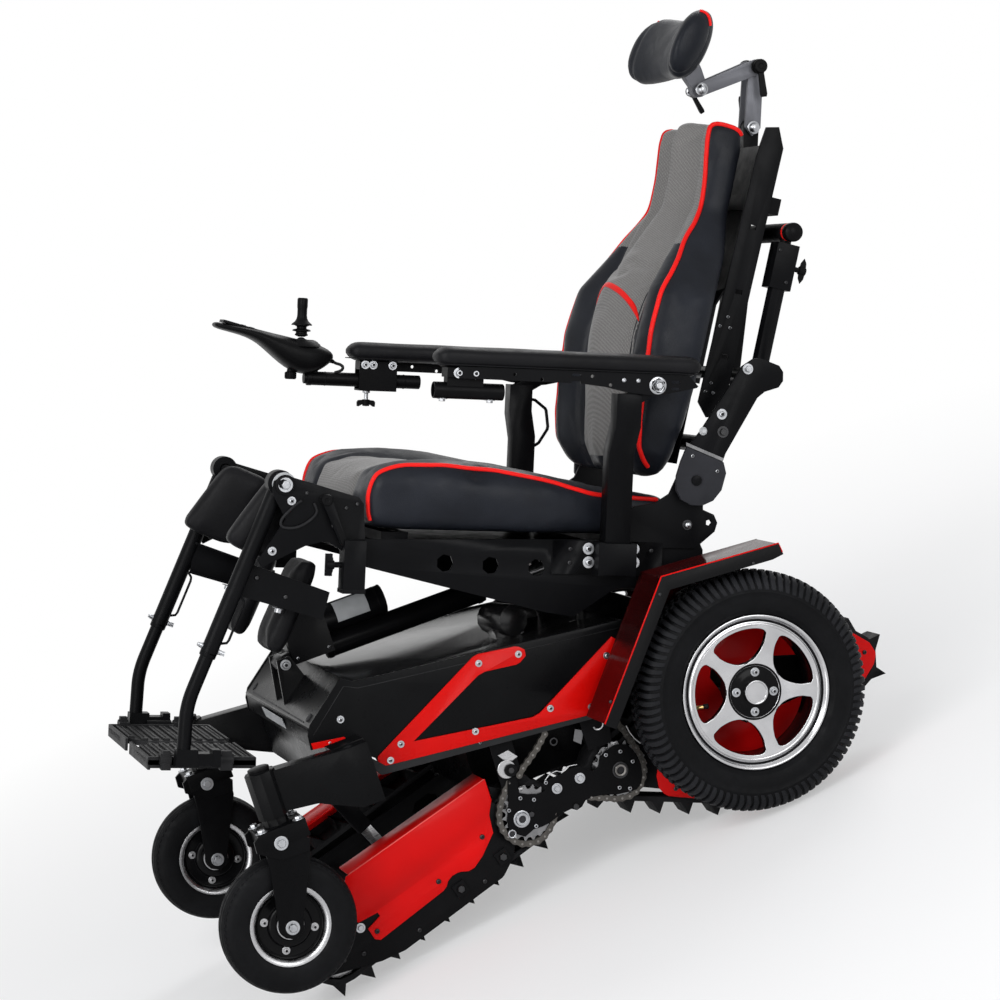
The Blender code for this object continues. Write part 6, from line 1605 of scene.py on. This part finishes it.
def clamp_lever(bm, matrix, x, hub, end, side, radius=0.0095, index=0):
    """A clamp lever: round hub and tapered arm, which lie on a face that looks sideways."""
    profile = ((0.0, -0.0004), (1.05, -0.0004), (1.05, 0.0016), (0.8, 0.0022), (0.8, 0.005),
            (1.0, 0.0056), (1.0, 0.0112), (0.88, 0.0128), (0.4, 0.013), (0.34, 0.012), (0.0, 0.0118))
    add_lathe(bm, [(radius * r, at) for r, at in profile], outward(matrix, x, *hub, side), 32, index)
    run = Vector((0.0, end[0] - hub[0], end[1] - hub[1]))
    length = run.length
    along = run.normalized()
    across = Vector((0.0, -along.z, along.y))
    rows = []
    # Share of the length, half width as a share of the hub's radius, and the heights of both faces.
    arm = ((0.02, 0.62, 0.006, 0.0105), (0.25, 0.4, 0.0064, 0.0108), (0.6, 0.44, 0.0068, 0.0118),
            (0.9, 0.5, 0.0072, 0.0124), (1.0, 0.4, 0.008, 0.0118))
    for share, wide, low, high in arm:
        middle = Vector((0.0, *hub)) + along * length * share
        corners = [middle + across * radius * wide * s + Vector((x + side * h, 0.0, 0.0))
                for s, h in ((-1, low), (1, low), (1, high), (-1, high))]
        rows.append([bm.verts.new(matrix @ corner) for corner in corners])
    join_rings(bm, rows, index)


def wing_knob(bm, spot, reach=0.0200, stem=0.0120, index=0):
    """A wing screw along +X of a frame: stem, hub and two pointed blades along Z."""
    add_lathe(bm, [(0.0, -0.001), (0.004, -0.001), (0.004, stem), (0.0064, stem), (0.006, stem + 0.011),
            (0.0, stem + 0.012)], spot, 20, index)
    for flank in (1, -1):
        blade = [(stem + 0.001, flank * 0.004), (stem + 0.002, flank * reach * 0.6),
                (stem + 0.006, flank * reach), (stem + 0.01, flank * reach * 0.62),
                (stem + 0.0108, flank * 0.004)]
        verts = []
        for thick in (-0.0022, 0.0022):
            verts.append([bm.verts.new(spot @ Vector((a, thick * (1.0 if abs(b) < reach * 0.9 else 0.3),
                    b))) for a, b in blade])
        join_rings(bm, verts, index)


def head_details():
    bm = bmesh.new()
    for side in (1, -1):
        dome(bm, SEAT, side * 0.0178, 0.263, 0.735, side, 0.0076)
    from_bmesh("head_bolts_lower", bm, "zinc", "head_link_lower")
    bm = bmesh.new()
    for side in (1, -1):
        dome(bm, SEAT, side * 0.02, 0.174, 0.788, side, 0.0076)
    from_bmesh("head_bolts_upper", bm, "zinc", "head_link_upper")
    bm = bmesh.new()
    clamp_lever(bm, SEAT, 0.0236, (0.264, 0.829), (0.272, 0.782), 1, 0.011)
    clamp_lever(bm, SEAT, -0.0202, (0.174, 0.788), (0.196, 0.756), -1, 0.008)
    add_lathe(bm, mm((0, 0), (13, 0), (13.5, 1), (13.5, 4), (12, 5.2), (0, 5.2)),
            moved(SEAT, -0.0286, 0.264, 0.829), 32)
    from_bmesh("head_levers", bm, "plastic", "head_link_upper", edge=(0.0006, 2, 40))
    bm = bmesh.new()
    clamp_lever(bm, SEAT, -0.0182, (0.263, 0.735), (0.2575, 0.786), -1, 0.008)
    from_bmesh("head_lever_low", bm, "plastic", "head_link_lower",
            edge=(0.0006, 2, 40))


COVER = mm((-24.5, 45), (36.5, 35), (44, 20), (42.5, -6), (33, -24), (18, -34.5), (1, -37.5),
        (-16, -33), (-27, -20), (-31, 0), (-29, 23))


def back_details():
    bar = moved(BACK, 0.0, 0.1, 0.4)
    for side in (1, -1):
        name = SIDE[side]
        bm = bmesh.new()
        add_plate(bm, COVER, side * BACK_X, side * 0.247, BACK, 0)
        add_plate(bm, mm((-26, 52), (38, 41), (36.5, 35.5), (-24.5, 46)), side * 0.2394, side * 0.2412,
                BACK, 1)
        from_bmesh(f"recline_cover_{name}", bm, "cover steel_dark", "back",
                edge=(0.0022, 3, 30))
        bm = bmesh.new()
        mount(bm, BACK, side * BACK_X, mm((45.3, 178)), side, 0.0046, "hex")
        mount(bm, BACK, side * BACK_X, mm((20, 104)), side, 0.0046, "button")
        mount(bm, BACK, side * BACK_X, mm((27.6, 78.7)), side, 0.005, "hex", True, 2)
        dome(bm, BACK, side * 0.2394, -0.0032, 0.0735, side, 0.0046, 3, 3)
        mount(bm, BACK, side * 0.247, mm((-14, 34), (29, 20)), side, 0.003, "button", False)
        for y, z in mm((29.3, 253.1), (19.7, 237.1), (36.1, 237.6), (24.9, 150.3), (19, 135.9),
                (31.4, 136.3)):
            dome(bm, BACK, side * 0.1518, y, z, side, 0.0016)
        mount(bm, BACK, side * 0.1562, mm((88, 370), (108, 324)), side, 0.003, "button", False, 2)
        dome(bm, SEAT, side * 0.23, 0.106, 0.127, side, 0.0058, 0, 2)
        from_bmesh(f"back_bolts_{name}", bm, "zinc socket black_bolt label", "back",
                edge=SMALL_EDGE)
        bm = bmesh.new()
        wing_knob(bm, turned(moved(BACK, side * 0.14, 0.118, 0.348), 90, "Z"))
        from_bmesh(f"push_knob_{name}", bm, "plastic", "back", edge=(0.0006, 2, 40))
        # Red ring and end cap of the push bar.
        bm = bmesh.new()
        add_lathe(bm, flipped(mm((13.1, 144), (14.1, 144.4), (14.1, 150.6), (13.1, 151)), side), bar,
                40, 0)
        cap = mm((13.2, 151.2), (14.4, 151.6), (14.6, 156), (14.6, 164), (13.6, 167.2), (0, 168.4))
        add_lathe(bm, flipped(cap, side), bar, 40, 1)
        from_bmesh(f"push_ring_{name}", bm, "piping plastic", "push_bar")
    bm = bmesh.new()
    # The grip's fine ribs.
    ribs = [(0.014 + 0.0004 * (k % 2), -0.136 + 0.002267 * k) for k in range(121)]
    rows = mm((13.1, -138), (14, -137)) + ribs + mm((14, 137), (13.1, 138))
    add_lathe(bm, rows, bar, 32)
    from_bmesh("push_grip", bm, "tyre", "push_bar")


def hanger_details():
    knee = (-0.503, 0.1687)
    for side in (1, -1):
        name = SIDE[side]
        bm = bmesh.new()
        spot = outward(SEAT, side * HANGER_X, *knee, side)
        add_lathe(bm, mm((0, 0), (14, 0), (14.5, 0.8), (14.5, 2.8), (13.5, 3.6), (0, 3.6)), spot, 36, 1)
        add_lathe(bm, mm((7.2, -7.8), (17.2, -7.8), (17.6, -7), (17.6, -5.2), (7.2, -5.2)), spot, 36, 2,
                True)
        mount(bm, SEAT, side * 0.2276, [knee], side, 0.006, "hex")
        mount(bm, SEAT, side * HANGER_X, mm((-492.5, 146), (-518, 73.6)), side, 0.0036, "button")
        mount(bm, SEAT, side * HANGER_X, mm((-470.6, 157.9), (-412, 138), (-396, 144), (-430, 112)),
                side, 0.003, "button", False, 3, 3)
        from_bmesh(f"hanger_bolts_{name}", bm, "zinc plastic label black_bolt", "seat",
                edge=SMALL_EDGE)
        bm = bmesh.new()
        clamp_lever(bm, SEAT, side * 0.2242, (-0.443, 0.149), (-0.413, 0.084), side, 0.0086)
        x = side * 0.225
        wing_knob(bm, turned(moved(SEAT, x, -0.416, 0.056), 270, "Z"), 0.017, 0.011)
        add_box(bm, (x - 0.0166, -0.417, 0.016), (x + 0.0166, -0.383, 0.022), SEAT)
        from_bmesh(f"hanger_lever_{name}", bm, "plastic", "seat", edge=(0.0006, 2, 40))
        bm = bmesh.new()
        loop = mm((-478.4, 147.1), (-490, 138), (-506, 120), (-505, 109), (-487, 108), (-469.7, 115.8),
                (-456, 130), (-460, 144))
        add_tube(bm, curve_through(placed(SEAT, loop, side * 0.2262), 6), 0.002, 10)
        from_bmesh(f"hanger_lead_{name}", bm, "cable", "seat")


def leg(side):
    """The dressed leg: two telescoping tubes, knee, shelf, height screws and hinge block."""
    name = SIDE[side]
    at = LEG[side]
    foot = at.inverted() @ SEAT @ Vector((side * LEG_X, -0.631, -0.222))
    bm = bmesh.new()

    def pipe(points, radius, index=0, sides=28):
        add_tube(bm, placed(at, points, 0.0), radius, sides, index)

    pipe(mm((0, -8), (0, -120), (0, -264)), 0.0122)
    pipe(mm((0, -262), (0, -267.5), (0, -269)), (0.0122, 0.0122, 0.0112))
    bend = mm((0, -262), (0, -300), (0, -318))
    a, b = Vector((0.0, -0.318)), Vector((0.0, -0.342))
    c = b.lerp(Vector((foot.y, foot.z)), 0.3)
    bend += [tuple(a.lerp(b, k / 8).lerp(b.lerp(c, k / 8), k / 8)) for k in range(9)]
    bend += [(foot.y, foot.z)]
    pipe(bend, 0.0101)
    # Knee: bored hub on the seat's pin, with its shoulder rings.
    add_lathe(bm, mm((8.2, -13), (18, -13), (19, -12), (19, 12), (18, 13), (8.2, 13)), at, 40, 0, True)
    # Height screw through the collar: head behind, wing nut ahead.
    for flank in (1, -1):
        spot = turned(moved(at, 0.0, flank * 0.012, -0.256), 90 * flank, "Z")
        end = mm((2.8, 8), (0, 8.4)) if flank < 0 else mm((2.8, 10), (0, 10.6))
        add_lathe(bm, mm((0, 0), (4.6, 0), (4.8, 1), (3.8, 1.4), (3.8, 5.2), (2.8, 5.6)) + end, spot,
                18, 1)
    add_box(bm, (-0.0022, 0.017, -0.2595), (0.0022, 0.0225, -0.2525), at, 1, 0.8)
    # Guide wire behind the upper tube.
    wire = mm((11, -170), (19, -176), (20.5, -182), (20.5, -235), (19, -240), (11, -244))
    pipe(wire, 0.0019, 0, 8)

    def on_seat(points, low, high):
        add_plate(bm, points, side * (LEG_X + low), side * (LEG_X + high), SEAT)

    on_seat(mm((-512, 150), (-470, 140), (-466, 120), (-524, 130)), -0.0085, -0.0045)
    shelf = mm((-550, 55), (-425, 14), (-434, -26), (-556, 6))
    on_seat(shelf, -0.0095, -0.0055)
    on_seat(mm((-550, 55), (-425, 14), (-425.6, 11), (-550.6, 52)), -0.03, -0.006)
    on_seat(mm((-434.5, -23), (-434, -26), (-556, 6), (-556, 9)), -0.03, -0.006)
    # Pivot pin of the calf pad, and the stop beside the knee.
    add_tube(bm, placed(at, mirrored(mm((-82, 121.7, -132), (-7, 121.7, -132)), side)), 0.005, 18, 1)
    add_tube(bm, placed(at, mirrored(mm((-18, 25, -30), (-6, 25, -30)), side)), 0.006, 18)
    mount(bm, SEAT, side * 0.1976, mm((-533, 33), (-490, 6)), side, 0.0036, "button", False, 2, 2)
    add_bolt(bm, facing(SEAT @ Vector((side * 0.185, -0.496, -0.0115)),
            SEAT.to_3x3() @ Vector((0, -0.25, -1))), 0.0056, "cap", True, 1, 2)
    # Hinge block and knuckle of the footplate.
    hinge = FOOT[side]
    inner, outer = sorted((side * 0.0042, side * 0.0285))
    for low, high in mm((-46, -13), (6, 19)):
        add_box(bm, (inner, low, -0.007), (outer, high, 0.0175), hinge, 0, 0.92)
    add_box(bm, (inner, -0.014, -0.005), (outer, 0.007, 0.012), hinge)
    add_tube(bm, placed(hinge, mm((0, -19, 0), (0, 19, 0))), 0.0078, 22)
    tube = from_bmesh(f"leg_tube_{name}", bm, "seat zinc black_bolt", f"leg_{name}",
            edge=(0.0007, 2, 40))
    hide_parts(f"leg_frame_{name}")


def footplate(side):
    """A moulded footplate: bordered tray with ribs and rows of studs, and its hinge ears."""
    name = SIDE[side]
    at = FOOT[side]
    if side < 0:
        at = at @ Matrix.Scale(-1.0, 4, (1.0, 0.0, 0.0))
    bm = bmesh.new()
    edge = mm((-8, -80), (-118, -80), (-128, -77.5), (-169, -53), (-172, -48), (-172, 70), (-170, 75.5),
            (-165, 78), (-8, 78))

    # The frame's x and y as the outline of a plate, and its z as the thickness.
    flat = at @ Matrix(((0, 1, 0, 0), (0, 0, 1, 0), (1, 0, 0, 0), (0, 0, 0, 1)))

    def slab(points, low, high, shrink=1.0):
        add_plate(bm, points, low, high, flat, 0, shrink)

    slab(edge, -0.01, -0.0015)
    # Side skirts below the tray, and a raised rear and hinge border.
    for low, high in (mm((-169, -80), (-8, -76)), mm((-165, 74), (-8, 78))):
        slab([low, (high[0], low[1]), high, (low[0], high[1])], -0.0165, 0.0022)
    slab(mm((-15, -78), (-8, -78), (-8, 76), (-15, 76)), -0.014, 0.0024)
    for k in range(9):
        y = -0.066 + 0.0165 * k
        far = -0.164 if y > -0.05 else -0.164 + (-0.05 - y) * 1.5
        slab([(far, y - 0.0048), (-0.019, y - 0.0048), (-0.019, y + 0.0048), (far, y + 0.0048)],
                -0.0016, 0.0016, 0.985)
        for j in range(13):
            x = -0.026 - 0.0112 * j
            if x > far + 0.006:
                add_lathe(bm, mm((0, 2.7), (1.6, 2.5), (2.1, 1.4)),
                        turned(moved(at, x, y, 0.0), -90, "Y"), 8, 1)
    slab(mm((-165, -5), (-20, -5), (-20, 4), (-165, 4)), -0.017, -0.0095)
    for low, high in mm((-64, -48), (21.5, 42)):
        add_tube(bm, placed(at, ((0.0, low, 0.0), (0.0, high, 0.0))), 0.0082, 22)
        add_box(bm, (-0.017, low, -0.008), (0.0, high, 0.006), at)
        add_box(bm, (-0.0075, low + 0.001, -0.015), (0.0075, high - 0.001, 0.013), at, 0, 0.8)
    plate = from_bmesh(f"foot_tray_{name}", bm, "tray plastic", f"foot_{name}",
            edge=(0.0009, 2, 35))
    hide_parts(f"footplate_{name}")


def actuator_details():
    """Bare label, end caps and screws of the tilt drive."""
    pivot, far = Vector(TILT_PIVOT), Vector((-0.15, 0.404))
    run = far - pivot
    at = turned(moved(CHASSIS, 0.0, *pivot), math.degrees(math.atan2(run.y, run.x)), "X")
    bm = bmesh.new()
    arc = [(0.0227 * math.cos(math.radians(a)), 0.04 + 0.0227 * math.sin(math.radians(a)))
            for a in range(-20, 71, 9)]
    label = [[bm.verts.new(at @ Vector((x, y, z))) for x, z in arc] for y in (0.098, 0.15)]
    for k in range(len(arc) - 1):
        bm.faces.new((label[0][k], label[0][k + 1], label[1][k + 1], label[1][k]))
    for y, r in mm((176, 22.9), (166, 22.7)):
        ring = turned(moved(at, 0.0, y, 0.04), 90, "Z")
        add_lathe(bm, [(r - 0.0008, -0.0012), (r, -0.0008), (r, 0.0008), (r - 0.0008, 0.0012)], ring,
                40, 1)
    for y in (0.076, 0.322):
        ring = turned(moved(at, 0.0, y, 0.0), 90, "Z")
        add_lathe(bm, mm((18, -4), (19.4, -3), (19.4, 3), (18, 4)), ring, 40, 1)
    for flank in (1, -1):
        mount(bm, at, flank * 0.0233, mm((22, 2), (72, 2), (22, 58), (72, 58)), flank, 0.0026, "button",
                False, 2, 3)
    from_bmesh("tilt_drive_fittings", bm, "label plastic zinc socket", "tilt_outer",
            edge=SMALL_EDGE)


camera()
studio()
dress()
for side in (1, -1):
    rim(side)
    tyre(side)
    caster(side)
seat_cushion()
back_cushion()
headrest()
leg_pads()
for side in (1, -1):
    arm_pad(side)
    arm_rail(side)
controller()
arm_post_details()
for side in (1, -1):
    skirt_details(side)
    track_bracket(side)
    cover_details(side)
    fork_details(side)
    leg(side)
    footplate(side)
deck_details()
head_details()
back_details()
hanger_details()
actuator_details()
